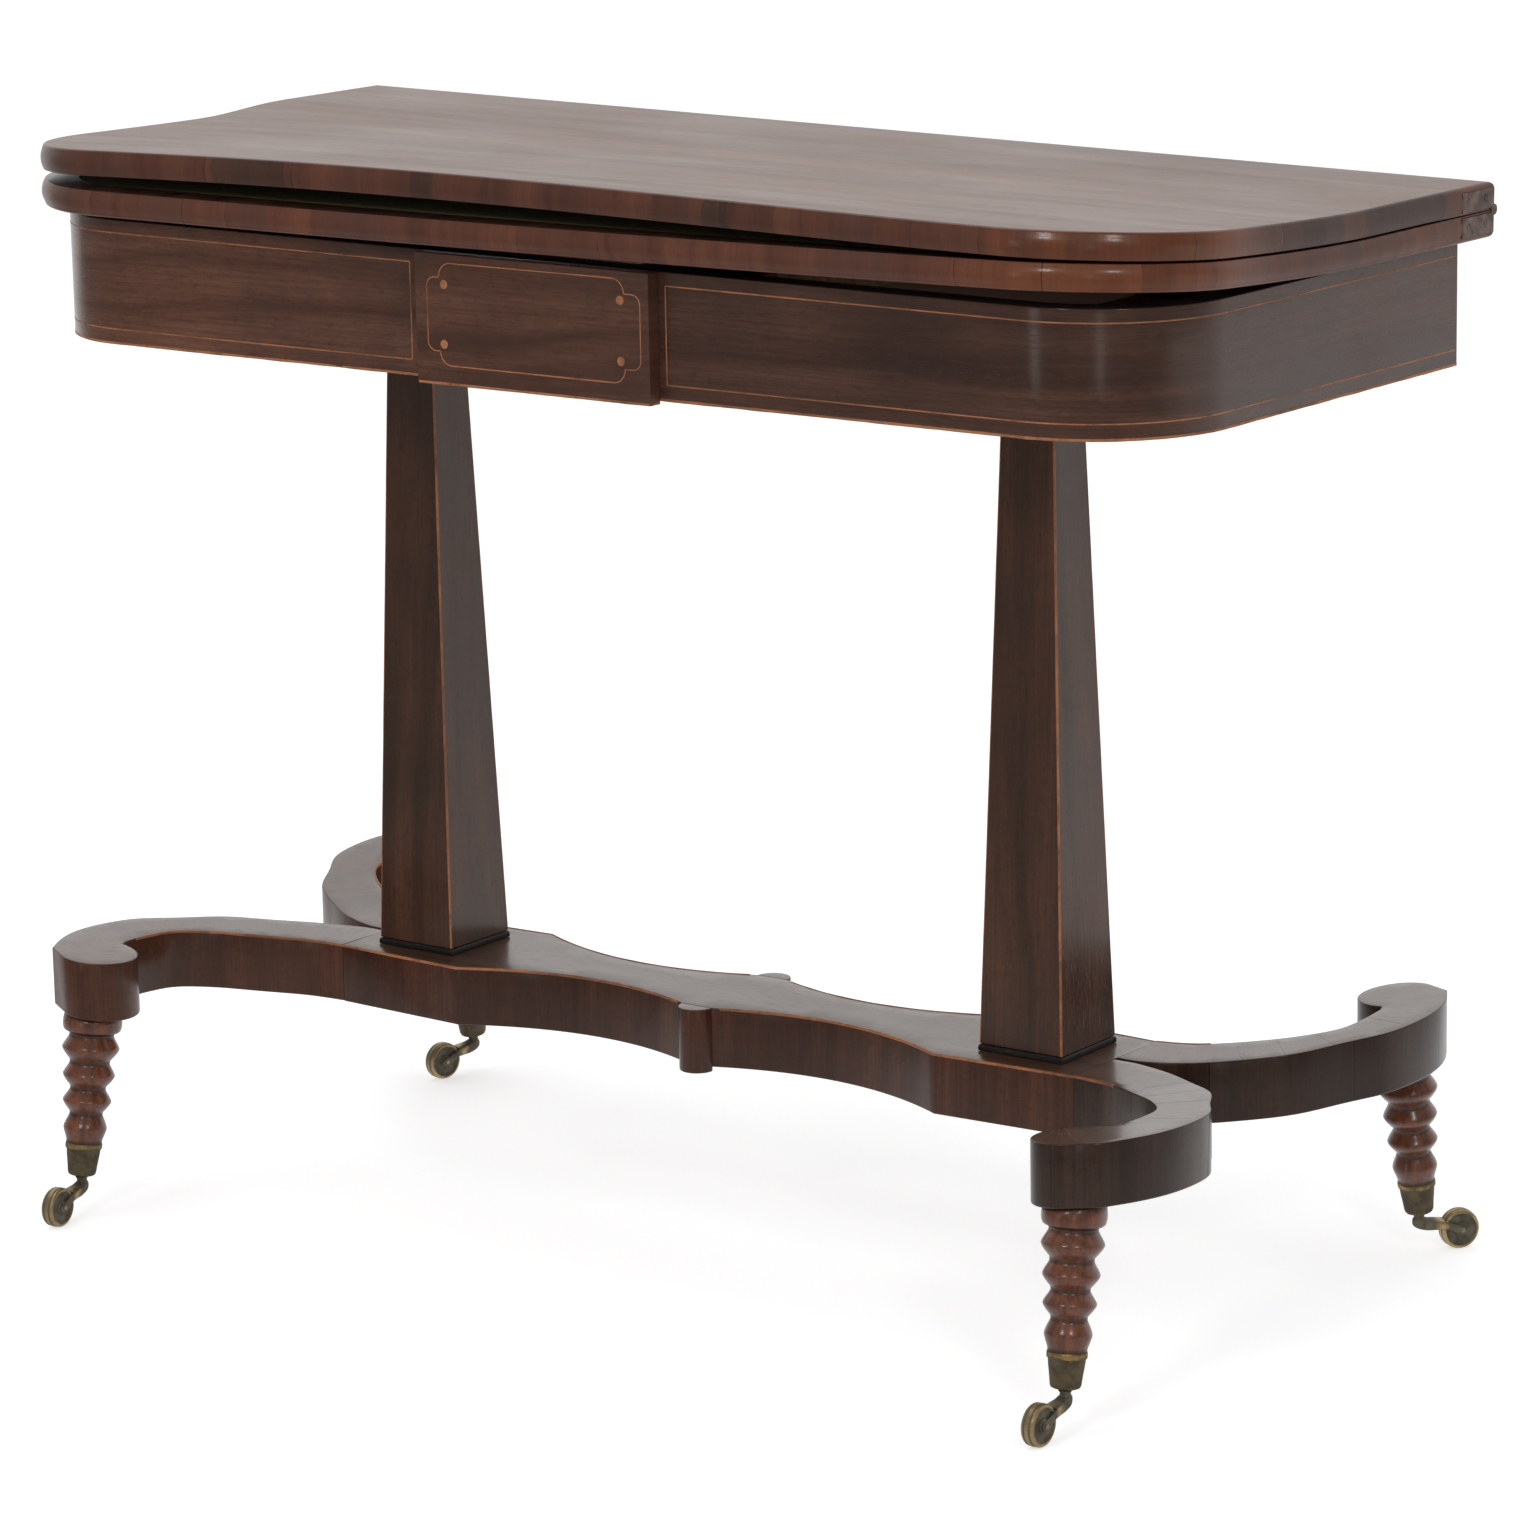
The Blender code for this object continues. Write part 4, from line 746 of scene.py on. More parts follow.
mahogany = foot_finish()
foot_segments = 64
seat_gap, arris_gap = 0.0004, 0.0016
for corner, (side_x, side_y) in corners.items():
    foot = lathe(foot_profile, leaning(side_x, side_y), foot_segments)
    rise = foot_middle(side_x, side_y, foot_top) - foot_middle(side_x, side_y, 0)
    top_rings = foot.points[-2 * foot_segments:]
    for index, point in enumerate(top_rings):
        below_arm = arris_gap if index < foot_segments else seat_gap
        for _ in range(5):
            gap = arm_level(point.x, point.y) - arm_thickness - below_arm - point.z
            point += rise * (gap / rise.z)
    foot.piece(f"turned_foot_{corner}", "frame", "foot_wood", [mahogany], f"foot_{corner}", mark="wax",
               sharp=60)


# Ferrules: tapered cast brass cups driven onto the feet, each with a hole for a caster's stem. They have gone
# brown with age and are rubbed back to gold at the rim.
def brass_finish(name, patina, gold, amount):
    """Cast brass under a dark patina that has worn through where it is touched."""
    finish = Finish(name, Specular_IOR_Level=0.5)
    x, y, z = finish.place("Object")
    cloud = finish.noise(finish.vector(x * 90.0, y * 90.0, z * 90.0), 5.0, 0.65)
    grit = finish.noise(finish.vector(x * 700.0, y * 700.0, z * 700.0), 3.0, 0.6)
    worn = (finish.mark("worn") * 0.50 + cloud * 0.80 + grit * 0.20).between(0.74 - amount, 0.98 - amount)
    colour = finish.mix(cloud.between(0.35, 0.65), patina, darker(patina, 0.45))
    colour = finish.mix(worn, colour, gold)
    finish.bump(grit * 0.5 + cloud, 0.00012)
    return finish.show(Base_Color=colour, Roughness=0.55 - worn * 0.22 + grit * 0.12,
                       Metallic=0.45 + worn * 0.5)


old_brass = brass_finish("ferrule_brass", (0.135, 0.104, 0.056), (0.42, 0.28, 0.105), 0.02)
ferrule_section = ((0.0020, 0.0002, 0.0), (0.0078, 0.0002, 0.2), (0.0090, 0.0008, 0.5), (0.00965, 0.0022, 0.35),
                   (0.01030, 0.0080, 0.0), (0.01110, 0.0135, 0.1), (0.01165, 0.0182, 0.35),
                   (0.01190, 0.0186, 0.1), (0.01245, 0.0190, 0.50), (0.01260, 0.0205, 0.72),
                   (0.01250, 0.0220, 0.66), (0.01220, ferrule_length, 0.5), (0.0116, ferrule_length, 0.3),
                   (0.0107, 0.0140, 0.0), (0.0086, 0.0060, 0.0), (0.0020, 0.0060, 0.0))
ferrule_profile = [(radius, ferrule_base + height, mark) for radius, height, mark in ferrule_section]
for corner, (side_x, side_y) in corners.items():
    ferrule = lathe(ferrule_profile, leaning(side_x, side_y), 48, closed=True)
    ferrule.piece(f"brass_cup_{corner}", "frame", "old_brass", [old_brass], f"ferrule_{corner}", mark="worn",
                  sharp=50)


# Casters: a cast horn turns on a stem in each ferrule, and a small wheel with a rounded tread runs on an axle
# that is riveted through the horn's two cheeks.
wheel_radius = 0.0135
wheel_half = 0.0045
trail = 0.029
cheek_half = wheel_half + 0.0005 + 0.0016
rest_angles = {"front_left": 277.3, "front_right": 269.6, "back_left": 257.0, "back_right": 55.6}
caster_brass = brass_finish("caster_brass", (0.175, 0.150, 0.106), (0.42, 0.31, 0.16), -0.02)
wheel_side = [(0.0018, 0.0050, 0.2), (0.0040, 0.0050, 0.4), (0.0046, 0.0047, 0.6), (0.0048, 0.0036, 0.0),
              (0.0100, 0.0034, 0.0), (0.0106, 0.0038, 0.1), (0.0110, 0.0045, 0.7), (0.0118, 0.0046, 0.8),
              (0.0126, 0.0043, 1.0), (0.0131, 0.0036, 1.0), (0.01335, 0.0028, 0.8), (0.0133, 0.0021, 0.35),
              (0.01345, 0.0014, 0.7), (0.0135, 0.0007, 0.9)]
axle_side = [(0.0001, 0.0072, 0.9), (0.0012, 0.0070, 0.9), (0.0021, 0.0066, 0.5), (0.0022, cheek_half, 0.0),
             (0.0015, cheek_half - 0.0002, 0.0)]
wheel_profile, axle_profile = (side + [(radius, -across, mark) for radius, across, mark in reversed(side)]
                               for side in (wheel_side, axle_side))
horn_path = flowing([(-0.0042, 0.0016, 0.0012, 0.0212), (-0.0034, 0.0030, 0.0030, 0.0211),
                     (0.0000, 0.0044, 0.0044, 0.0206), (0.0060, 0.0050, 0.0042, 0.0190),
                     (0.0120, cheek_half - 0.0006, 0.0038, 0.0185), (0.0180, cheek_half, 0.0036, 0.0177),
                     (0.0240, cheek_half, 0.0040, 0.0150), (trail, cheek_half, 0.0043, wheel_radius),
                     (0.0320, cheek_half, 0.0030, wheel_radius),
                     (0.0333, cheek_half - 0.0002, 0.0006, wheel_radius)], 5)
neck_profile = [(0.0040, 0.0200, 0.0), (0.0043, 0.0228, 0.3), (0.0036, 0.0240, 0.2), (0.0034, 0.0258, 0.4),
                (0.0042, 0.0268, 0.7), (0.0042, 0.0276, 0.6), (0.0022, 0.0277, 0.0), (0.0022, 0.0328, 0.0)]
room_radius, room_half = wheel_radius + 0.0009, wheel_half + 0.0006
axle_hole = 0.0019
horn_segments = 28
for corner, (side_x, side_y) in corners.items():
    swivel = foot_middle(side_x, side_y, ferrule_base)
    rest_turn = Matrix.Rotation(math.radians(rest_angles[corner]), 4, "Z")
    set_caster = Matrix.Translation((swivel.x, swivel.y, 0)) @ rest_turn
    set_wheel = set_caster @ Matrix.Translation((trail, 0, wheel_radius)) @ Matrix.Rotation(math.pi / 2, 4, "X")
    wheel = lathe(wheel_profile, lambda point: set_wheel @ point, 64, closed=True)
    wheel.piece(f"brass_wheel_{corner}", f"wheel_{corner}", "old_brass", [caster_brass],
                f"caster_wheel_{corner}", mark="worn", sharp=60)

    axle = lathe(axle_profile, lambda point: set_wheel @ point, 20)
    axle.piece(f"riveted_axle_{corner}", f"caster_{corner}", "old_brass", [caster_brass],
               f"caster_axle_{corner}", mark="worn", sharp=60)

    horn = Body()
    rings = []
    for along, half_width, half_height, height in horn_path:
        ring = []
        for step in range(horn_segments):
            angle = math.tau * step / horn_segments
            reach = (abs(math.cos(angle)) ** 3 + abs(math.sin(angle)) ** 3) ** (-1 / 3)
            ring.append(set_caster @ Vector((along, half_width * reach * math.cos(angle),
                                             height + half_height * reach * math.sin(angle))))
        rings.append(horn.add(ring, max(0.0, 0.9 - abs(along - 0.014) / 0.016)))
    for near, far in zip(rings, rings[1:]):
        horn.band(near, far, [0.001 * n for n in range(horn_segments + 1)], 0.0, 0.001)
    for end in (rings[0][::-1], rings[-1]):
        horn.face(end, [(0.0, 0.0)] * horn_segments)
    neck = lathe(neck_profile, lambda point: set_caster @ point, 32)
    wheel_room, hole = (lathe([(radius, -half, 0.0), (radius, half, 0.0)], lambda point: set_wheel @ point,
                              segments)
                        for radius, half, segments in ((room_radius, room_half, 64), (axle_hole, 0.012, 20)))
    tools = [(neck, "UNION"), (wheel_room, "DIFFERENCE"), (hole, "DIFFERENCE")]
    horn.piece(f"caster_horn_{corner}", f"caster_{corner}", "old_brass", [caster_brass],
               f"caster_fork_{corner}", mark="worn", sharp=40, tools=tools)


# Columns: two tapered square pine columns with dark rosewood veneer and a boxwood line down every edge, worn
# narrow on two of them. The tenons that hold them in the platform and the bearers are hidden, and not drawn.
column_base_height = 0.0048
glue_gap = 0.0003
column_low = platform_top + column_base_height + glue_gap
column_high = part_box("front_rail")[0].z - glue_gap
column_spread = 0.25
column_foot = (0.0314, 0.0309)
column_head = (0.0192, 0.0164)
soft_edge = 0.0005
column_tones = ((0.043, 0.0205, 0.0125), (0.081, 0.035, 0.021), (0.128, 0.054, 0.030))
column_side = veneer("column_veneer", column_tones, upright=False, roughness=0.18, figure=0.55, sheen=0.3,
                     shift=5.2)
for name, side in (("left", -1), ("right", 1)):
    place_x = side * column_spread
    column = Body()
    rings = []
    levels = [column_low + (column_high - column_low) * step / 12 for step in range(13)]
    for height in levels:
        share = (height - column_low) / (column_high - column_low)
        half_x, half_y = (low + (high - low) * share for low, high in zip(column_foot, column_head))
        ring = []
        for sx, sy in ((-1, -1), (1, -1), (1, 1), (-1, 1)):
            along_x, along_y = (soft_edge, 0), (0, soft_edge)
            order = (along_y, along_x) if sx == sy else (along_x, along_y)
            ring += [(place_x + sx * (half_x - dx), sy * (half_y - dy), height) for dx, dy in order]
        rings.append(column.add(ring))
    for row, (near, far) in enumerate(zip(rings, rings[1:])):
        for index in range(8):
            after = (index + 1) % 8
            spot = 0.3 * index + side
            width = (column.points[near[after]] - column.points[near[index]]).length
            far_width = (column.points[far[after]] - column.points[far[index]]).length
            column.face((near[index], near[after], far[after], far[index]),
                        ((levels[row], spot - width / 2), (levels[row], spot + width / 2),
                         (levels[row + 1], spot + far_width / 2), (levels[row + 1], spot - far_width / 2)))
    column.face(rings[0][::-1], [(0.0, 0.0)] * 8)
    column.face(rings[-1], [(0.0, 0.0)] * 8)
    column.piece(f"tapered_column_{name}", "frame", "rosewood", [column_side], f"column_{name}", sharp=30)
    for state, width, edges in (("sound", 0.0012, ((1, -1), (-1, 1))), ("worn", 0.0007, ((-1, -1), (1, 1)))):
        paths = []
        inward = width / 2 - proud * 0.5
        for sx, sy in edges:
            ends = ((column_foot, column_low), (column_head, column_high))
            low, high = ((place_x + sx * (half_x - inward), sy * (half_y - inward), height)
                         for (half_x, half_y), height in ends)
            steps = [tuple(a + (b - a) * step / 60 for a, b in zip(low, high)) for step in range(61)]
            paths.append([(point, (0, sy, 0)) for point in steps])
        boxwood_lines(f"{state}_edge_lines_{name}", "frame", paths, width, width, 0.5)


# Column bases: thin mouldings of wood stained black, planted on the platform round the columns' feet. They are
# dull, and rubbed brown along their edges.
def ebonised_finish():
    """Wood stained black, rubbed brown on its edges."""
    finish = Finish("ebonised_moulding", Specular_IOR_Level=0.35)
    x, y, z = finish.place("Object")
    rub = finish.noise(finish.vector(x * 120.0, y * 120.0, z * 500.0), 4.0, 0.65)
    colour = finish.mix(rub.between(0.5, 0.75), (0.010, 0.0075, 0.006), (0.045, 0.024, 0.015))
    finish.bump(rub, 0.0001)
    return finish.show(Base_Color=colour, Roughness=0.38 + rub * 0.3)


ebonised = ebonised_finish()
for name, side in (("left", -1), ("right", 1)):
    moulding = Body()
    section = ((-0.0180, glue_gap), (0.0006, glue_gap), (0.0008, 0.0008), (0.0008, 0.0026), (0.0005, 0.0036),
               (-0.0002, 0.0044), (-0.0012, column_base_height), (-0.0180, column_base_height))
    rings = []
    for out, up in section:
        half_x, half_y = (half + out for half in column_foot)
        rings.append(moulding.add([(side * column_spread + sx * half_x, sy * half_y, platform_top + up)
                                   for sx, sy in ((-1, -1), (1, -1), (1, 1), (-1, 1))]))
    for near, far in zip(rings, [*rings[1:], rings[0]]):
        moulding.band(near, far, [0.0, 0.06, 0.12, 0.18, 0.24], 0.0, 0.002)
    moulding.piece(f"base_moulding_{name}", "frame", "ebonised_wood", [ebonised], f"column_base_{name}",
                   sharp=40)


# Frieze: the frame under the top, straight rails and two round corner blocks glued up and veneered as one band,
# so one piece stands for them. Its upper edge rises a little to the left, where the old frame has warped.
frieze_half = 0.446
frieze_front = 0.187
frieze_back = 0.175
corner_radius = 0.088
rail_thickness = 0.020
frieze_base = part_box("front_rail")[0].z
frieze_height = 0.078
frieze_rise = 0.005
line_sunk = 0.0002
frieze_end_run = frieze_back + frieze_front - corner_radius
frieze_arc_run = corner_radius * math.pi / 2
frieze_flat_half = frieze_half - corner_radius
frieze_run = frieze_end_run + frieze_arc_run + frieze_flat_half


def frieze_level(x, y=0.0):
    """Height of the frieze's upper edge."""
    return frieze_base + frieze_height + frieze_rise * (frieze_half - x) / (2 * frieze_half)


def frieze_place(run, depth=0.0):
    """The point of the frieze's face at a run from the middle of the front, and the way the face looks there."""
    side = -1 if run < 0 else 1
    length = abs(run)
    if length < frieze_flat_half:
        x, y, nx, ny = length, -frieze_front, 0.0, -1.0
    elif length < frieze_flat_half + frieze_arc_run:
        angle = (length - frieze_flat_half) / corner_radius - math.pi / 2
        nx, ny = math.cos(angle), math.sin(angle)
        x = frieze_flat_half + corner_radius * nx
        y = corner_radius - frieze_front + corner_radius * ny
    else:
        end_run = length - frieze_flat_half - frieze_arc_run
        x, y, nx, ny = frieze_half, corner_radius - frieze_front + end_run, 1.0, 0.0
    return side * (x - depth * nx), y - depth * ny, side * nx, ny


runs = [-frieze_run, *[-frieze_run + frieze_end_run * step / 10 for step in range(1, 10)]]
runs += [-frieze_flat_half - frieze_arc_run * (1 - step / 28) for step in range(28)]
runs += [-frieze_flat_half + frieze_flat_half * step / 12 for step in range(12)]
runs = runs + [0.0] + [-run for run in reversed(runs)]
frieze_outline = [frieze_place(run)[:2] for run in runs]
frieze_outline += [frieze_place(run, rail_thickness)[:2] for run in reversed(runs)]
frieze = block(frieze_outline, lambda x, y: frieze_base, frieze_level, round_base=0.0007, round_top=0.0006,
               spacing=0.03)
frieze_tones = ((0.067, 0.0265, 0.017), (0.126, 0.053, 0.032), (0.190, 0.084, 0.051))
frieze_fade = (0.55, 0.95, (0.60, 0.64, 0.70))
frieze_face = veneer("frieze_veneer", frieze_tones, upright=False, roughness=0.15, figure=0.55, sheen=0.32,
                     shift=9.1, fade=frieze_fade)
rail_tones = ((0.030, 0.014, 0.009), (0.052, 0.025, 0.015), (0.080, 0.040, 0.024))


def plain_wood(name, tones, coarse):
    """Plain inner wood with straight grain along X, sawn or planed and left dull."""
    finish = Finish(name, Specular_IOR_Level=0.25)
    x, y, z = finish.place("Object")
    rings = finish.noise(finish.vector(x * 3.0, y * 60.0 * coarse, z * 60.0 * coarse), 3.0, 0.55, 0.6)
    fibres = finish.noise(finish.vector(x * 30.0, y * 900.0, z * 900.0), 2.0)
    stops = list(zip((0.3, 0.5, 0.7), tones))
    colour = finish.node("ShaderNodeValToRGB", {"stops": stops}, {0: rings})
    colour = finish.mix(fibres.between(0.5, 0.8) * 0.5, colour, tones[0])
    finish.bump(fibres * 0.4 + rings * 0.6, 0.0002)
    return finish.show(Base_Color=colour, Roughness=0.62 + fibres * 0.2)


# The frieze's upper and lower faces are bare wood with painted shade: the rails' tones are darkened to 0.4, so
# that the gap under the leaves and the frieze's underside look dark.
bare_edge = plain_wood("bare_frieze_edge", [darker(tone, 0.4) for tone in rail_tones], 1.0)
frieze.piece("veneered_frieze", "frame", "rosewood", [frieze_face, bare_edge], "front_rail",
             "corner_block_left", "corner_block_right", "end_rail_left", "end_rail_right", sharp=50)


def frieze_line(start, end, level, steps):
    """A path on the frieze between two runs; level gives its height at a place."""
    path = []
    for step in range(steps + 1):
        x, y, nx, ny = frieze_place(start + (end - start) * step / steps, line_sunk)
        path.append(((x, y, level(x)), (nx, ny, 0)))
    return path


def upper_line(x):
    return frieze_level(x) - 0.0085


def lower_line(x):
    return frieze_base + 0.010


frieze_paths = []
for inner_run, end_run in ((-0.105, -frieze_run + 0.002), (0.098, frieze_run - 0.002)):
    frieze_paths.append(frieze_line(inner_run, end_run, upper_line, 150))
    frieze_paths.append(frieze_line(inner_run, end_run, lower_line, 150))
    x, y, nx, ny = frieze_place(inner_run, line_sunk)
    low, high = lower_line(x), upper_line(x)
    frieze_paths.append([((x, y, low + (high - low) * step / 24), (nx, ny, 0)) for step in range(25)])
boxwood_lines("frieze_panel_lines", "frame", frieze_paths, 0.0009, 0.0006, 0.7)
edge_inset = 0.0006
bottom_places = [frieze_place(-frieze_run + 2 * frieze_run * step / 420) for step in range(421)]
bottom_path = [((x - nx * edge_inset, y - ny * edge_inset, frieze_base + edge_inset), (nx, ny, 0))
               for x, y, nx, ny in bottom_places]
boxwood_lines("frieze_bottom_line", "frame", [bottom_path], 0.0017, 0.0015, 0.9)


def dress(material, *names):
    """Gives CAD nodes that stay a material."""
    for node_name in names:
        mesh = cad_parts[node_name].data
        mesh.materials.clear()
        mesh.materials.append(material)


dress(plain_wood("back_rail_wood", rail_tones, 1.0), "back_rail")


# Tablet: a raised panel of the same veneer planted on the middle of the front, with a boxwood line that steps in
# at its corners round four boxwood dots.
tablet_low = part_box("tablet")[0]
tablet_face = tablet_low.y - middle.y
tablet_seat = -frieze_front - glue_gap
tablet_half = 0.0925
tablet_outline = [(-tablet_half, tablet_face), (tablet_half, tablet_face), (tablet_half, tablet_seat),
                  (-tablet_half, tablet_seat)]
tablet_body = block(tablet_outline, lambda x, y: tablet_low.z, frieze_level, round_base=0.0006,
                    round_top=0.0006, spacing=0.02)
tablet_tones = ((0.067, 0.027, 0.017), (0.113, 0.0475, 0.029), (0.166, 0.071, 0.043))
tablet_wood = veneer("tablet_veneer", tablet_tones, upright=False, roughness=0.36, figure=0.7, sheen=0.25,
                     shift=13.4)
tablet_body.piece("raised_tablet", "frame", "rosewood", [tablet_wood, tablet_wood], "tablet", sharp=50)


def quarter_turn(centre, radius, start, end):
    """Points of a small quarter circle on the tablet, as x and z."""
    turns = [math.radians(start + (end - start) * step / 12) for step in range(13)]
    return [(centre[0] + radius * math.cos(turn), centre[1] + radius * math.sin(turn)) for turn in turns]


notch_x = 0.0734
upright_lines = (-0.0832, 0.0858)
high_notch, low_notch = 0.6675, 0.6207
tablet_paths = []
for notch_z, edge_z, up in ((high_notch, 0.6768, 1), (low_notch, 0.6118, -1)):
    reach = abs(edge_z - notch_z)
    level = [(notch_x, notch_z), *quarter_turn((notch_x - reach, notch_z), reach, 0, 90 * up)]
    tablet_paths.append(level + [(-x, z) for x, z in reversed(level)])
bend = 0.0062
for edge_x in upright_lines:
    side = -1 if edge_x < 0 else 1
    inner_x = abs(edge_x) - bend
    upright = [(notch_x, high_notch), *quarter_turn((inner_x, high_notch - bend), bend, 90, 0),
               *quarter_turn((inner_x, low_notch + bend), bend, 0, -90), (notch_x, low_notch)]
    tablet_paths.append([(side * x, z) for x, z in upright])


def even_steps(path, gap):
    """Points at most a gap apart along a path."""
    made = [path[0]]
    for end in path[1:]:
        start = made[-1]
        steps = max(1, round(math.dist(start, end) / gap))
        made += [tuple(a + (b - a) * step / steps for a, b in zip(start, end))
                 for step in range(1, steps + 1)]
    return made


face_y = tablet_face + line_sunk
faced = [[((x, face_y, z), (0, -1, 0)) for x, z in even_steps(path, 0.002)] for path in tablet_paths]
boxwood_lines("tablet_line", "frame", faced, 0.0008, 0.0006, 0.7)
rim_half, rim_face = tablet_half - edge_inset, tablet_face + edge_inset
rim = [(-rim_half, tablet_seat), (-rim_half, rim_face), (rim_half, rim_face), (rim_half, tablet_seat)]
rim_facings = ((-1, 0, 0), (0, -1, 0), (1, 0, 0))
rim_paths = [[((x, y, tablet_low.z + edge_inset), facing) for x, y in even_steps([start, end], 0.003)]
             for start, end, facing in zip(rim, rim[1:], rim_facings)]
boxwood_lines("tablet_bottom_line", "frame", rim_paths, 0.0016, 0.0014, 0.9)
dots = None
for x, z in ((-0.0693, 0.6632), (0.0705, 0.6634), (-0.0703, 0.6252), (0.0703, 0.6255)):
    stand = Matrix.Translation((x, tablet_face, z)) @ Matrix.Rotation(math.pi / 2, 4, "X")
    dots = lathe([(0.0029, -0.0006, 0.0), (0.0029, 0.00008, 0.0), (0.0026, 0.00018, 0.0)],
                 lambda point: stand @ point, 24, built=dots)
dots.piece("tablet_dots", "frame", "boxwood", [boxwood], sharp=50)


# Inside the frame: two bearers over the columns, the board that carries the pivot, and a shallow well for the
# cards with its partition. Their shapes are the CAD's; the wood is plain pine, brown with age.
inner_tones = ((0.115, 0.058, 0.026), (0.20, 0.108, 0.050), (0.29, 0.165, 0.082))
dress(plain_wood("old_pine", inner_tones, 1.0), "bearer_left", "bearer_right", "pivot_board")
dress(plain_wood("well_pine", inner_tones, 0.6), "well_bottom", "well_partition")


# Pivot: a brass disc under the lower leaf turns on a bolt through the board, held by a washer and a nut, and a
# peg on the leaf meets one of two studs at each end of the quarter turn.
pivot_brass = brass_finish("pivot_brass", (0.16, 0.115, 0.052), (0.46, 0.32, 0.13), 0.12)
dress(pivot_brass, "pivot_disc", "stop_peg", "stop_stud_closed", "stop_stud_open")


def iron_finish():
    """Wrought iron, brown-black with specks of rust."""
    finish = Finish("pivot_iron", Metallic=0.85, Specular_IOR_Level=0.5)
    x, y, z = finish.place("Object")
    scale = finish.noise(finish.vector(x * 300.0, y * 300.0, z * 300.0), 5.0, 0.7)
    rust = scale.between(0.56, 0.68)
    colour = finish.mix(rust, (0.055, 0.052, 0.050), (0.105, 0.040, 0.018))
    finish.bump(scale, 0.00025)
    return finish.show(Base_Color=colour, Roughness=0.45 + rust * 0.4)


dress(iron_finish(), "pivot_bolt", "pivot_washer", "pivot_nut")


# Lower leaf: one half of the folding top, a board edged with cross-grained rosewood, with a cloth-lined playing
# face inside a rosewood border. It leans and has curled, and the numbers below repeat its warp.
leaf_half = 0.457
leaf_front = 0.209
leaf_back = 0.201
leaf_corner = 0.100
leaf_thickness = 0.017
leaf_gap = 0.0012
border_width = 0.025
cloth_recess = 0.001
leaf_depth = leaf_front + leaf_back
left_end_rise = 0.014
top_lean = math.atan2(left_end_rise, 2 * leaf_half)
flat_depth = 0.150
lower_cup = (-0.0050, -0.0023, 0.0017, 0.0070, 0.0140)
upper_cup = (0.0003, 0.0088, 0.0124, 0.0119, 0.0143)
hollow_depth = 0.0042
hollow_reach = 0.20
hollow_back, hollow_middle = 0.095, 0.010
leaf_rows = (0.0, 0.02, 0.06, 0.13, 0.20, 0.27, 0.33, 0.38, 0.42, 0.46, 0.50, 0.54, 0.58, 0.62, 0.66, 0.70,
             0.74, 0.78, 0.82, 0.86, 0.90, 0.93, 0.96, 0.98, 1.0)
top_base = frieze_base + frieze_height + 0.0005
set_top = (Matrix.Translation((leaf_half, 0, top_base)) @ Matrix.Rotation(top_lean, 4, "Y")
           @ Matrix.Translation((-leaf_half, 0, 0)))


def curl(cup, x, y):
    """How far a leaf's face stands up at a place, from five amounts along its front edge and a hollow in the
    middle of its left end."""
    reach = max(0.0, leaf_back - y - flat_depth) / (leaf_depth - flat_depth)
    station = (x / (2 * leaf_half) + 0.5) * 4
    lift = 0.0
    for index, amount in enumerate(cup):
        weight = 1.0
        for other in range(5):
            if other != index:
                weight *= (station - other) / (index - other)
        lift += amount * weight
    end = max(0.0, (-x - hollow_reach) / (leaf_half - hollow_reach)) ** 2
    if y > hollow_middle:
        hollow = max(0.0, min(1.0, (hollow_back - y) / (hollow_back - hollow_middle)))
        hollow *= hollow * (3 - 2 * hollow)
    else:
        hollow = 1 - ((hollow_middle - y) / (hollow_middle + 0.001 + leaf_front)) ** 1.3
    return lift * reach ** 1.5 - hollow_depth * end * hollow


def leaf_columns(inset):
    """Plan points that fill a leaf's outline, drawn in by an inset, in columns from the back to the front."""
    radius = leaf_corner - inset
    straight = leaf_half - leaf_corner
    front = inset - leaf_front
    turns = [math.pi / 2 * step / 16 for step in range(16)]
    near = [(-straight - radius * math.cos(turn), front + radius * (1 - math.sin(turn))) for turn in turns]
    near += [(-straight + 2 * straight * step / 44, front) for step in range(45)]
    near += [(-x, y) for x, y in reversed(near[:16])]
    back = leaf_back - inset
    return [[(x, back + (y - back) * share) for share in leaf_rows] for x, y in near]


def rim_order(columns):
    """Places round the edge of the columns: down the left end, along the front, up the right end and along
    the back."""
    last_column = len(columns) - 1
    last_row = len(leaf_rows) - 1
    order = [(0, row) for row in range(last_row)]
    order += [(column, last_row) for column in range(last_column)]
    order += [(last_column, row) for row in range(last_row, 0, -1)]
    order += [(column, 0) for column in range(last_column, 0, -1)]
    return order


def leaf_grid_faces(built, names, columns, upward, kind):
    for column in range(len(columns) - 1):
        for row in range(len(leaf_rows) - 1):
            spots = ((column, row), (column, row + 1), (column + 1, row + 1), (column + 1, row))
            spots = spots if upward else spots[::-1]
            built.face([names[c * len(leaf_rows) + r] for c, r in spots],
                       [columns[c][r] for c, r in spots], kind)


def warped(plan, height, cup):
    """Plan points at a height of the leaning top, on the curl of a leaf."""
    return [set_top @ Vector((x, y, height + curl(cup, x, y))) for x, y in plan]


def edge_profile(outer, inner, swell, thickness):
    """A leaf's edge from its outer face to its playing face, as (inset, depth): two rounded arrises and a swell
    between them."""
    half = (thickness - outer - inner) / 2
    turns = [math.radians(15 * step) for step in range(7)]
    places = (-0.8, -0.5, -0.2, 0.2, 0.5, 0.8)
    profile = [(swell + outer * (1 - math.sin(turn)), outer * (1 - math.cos(turn))) for turn in turns]
    profile += [(swell * place ** 2, outer + half * (1 + place)) for place in places]
    return profile + [(swell + inner * (1 - math.cos(turn)), thickness - inner * (1 - math.sin(turn)))
                      for turn in turns[::2]]


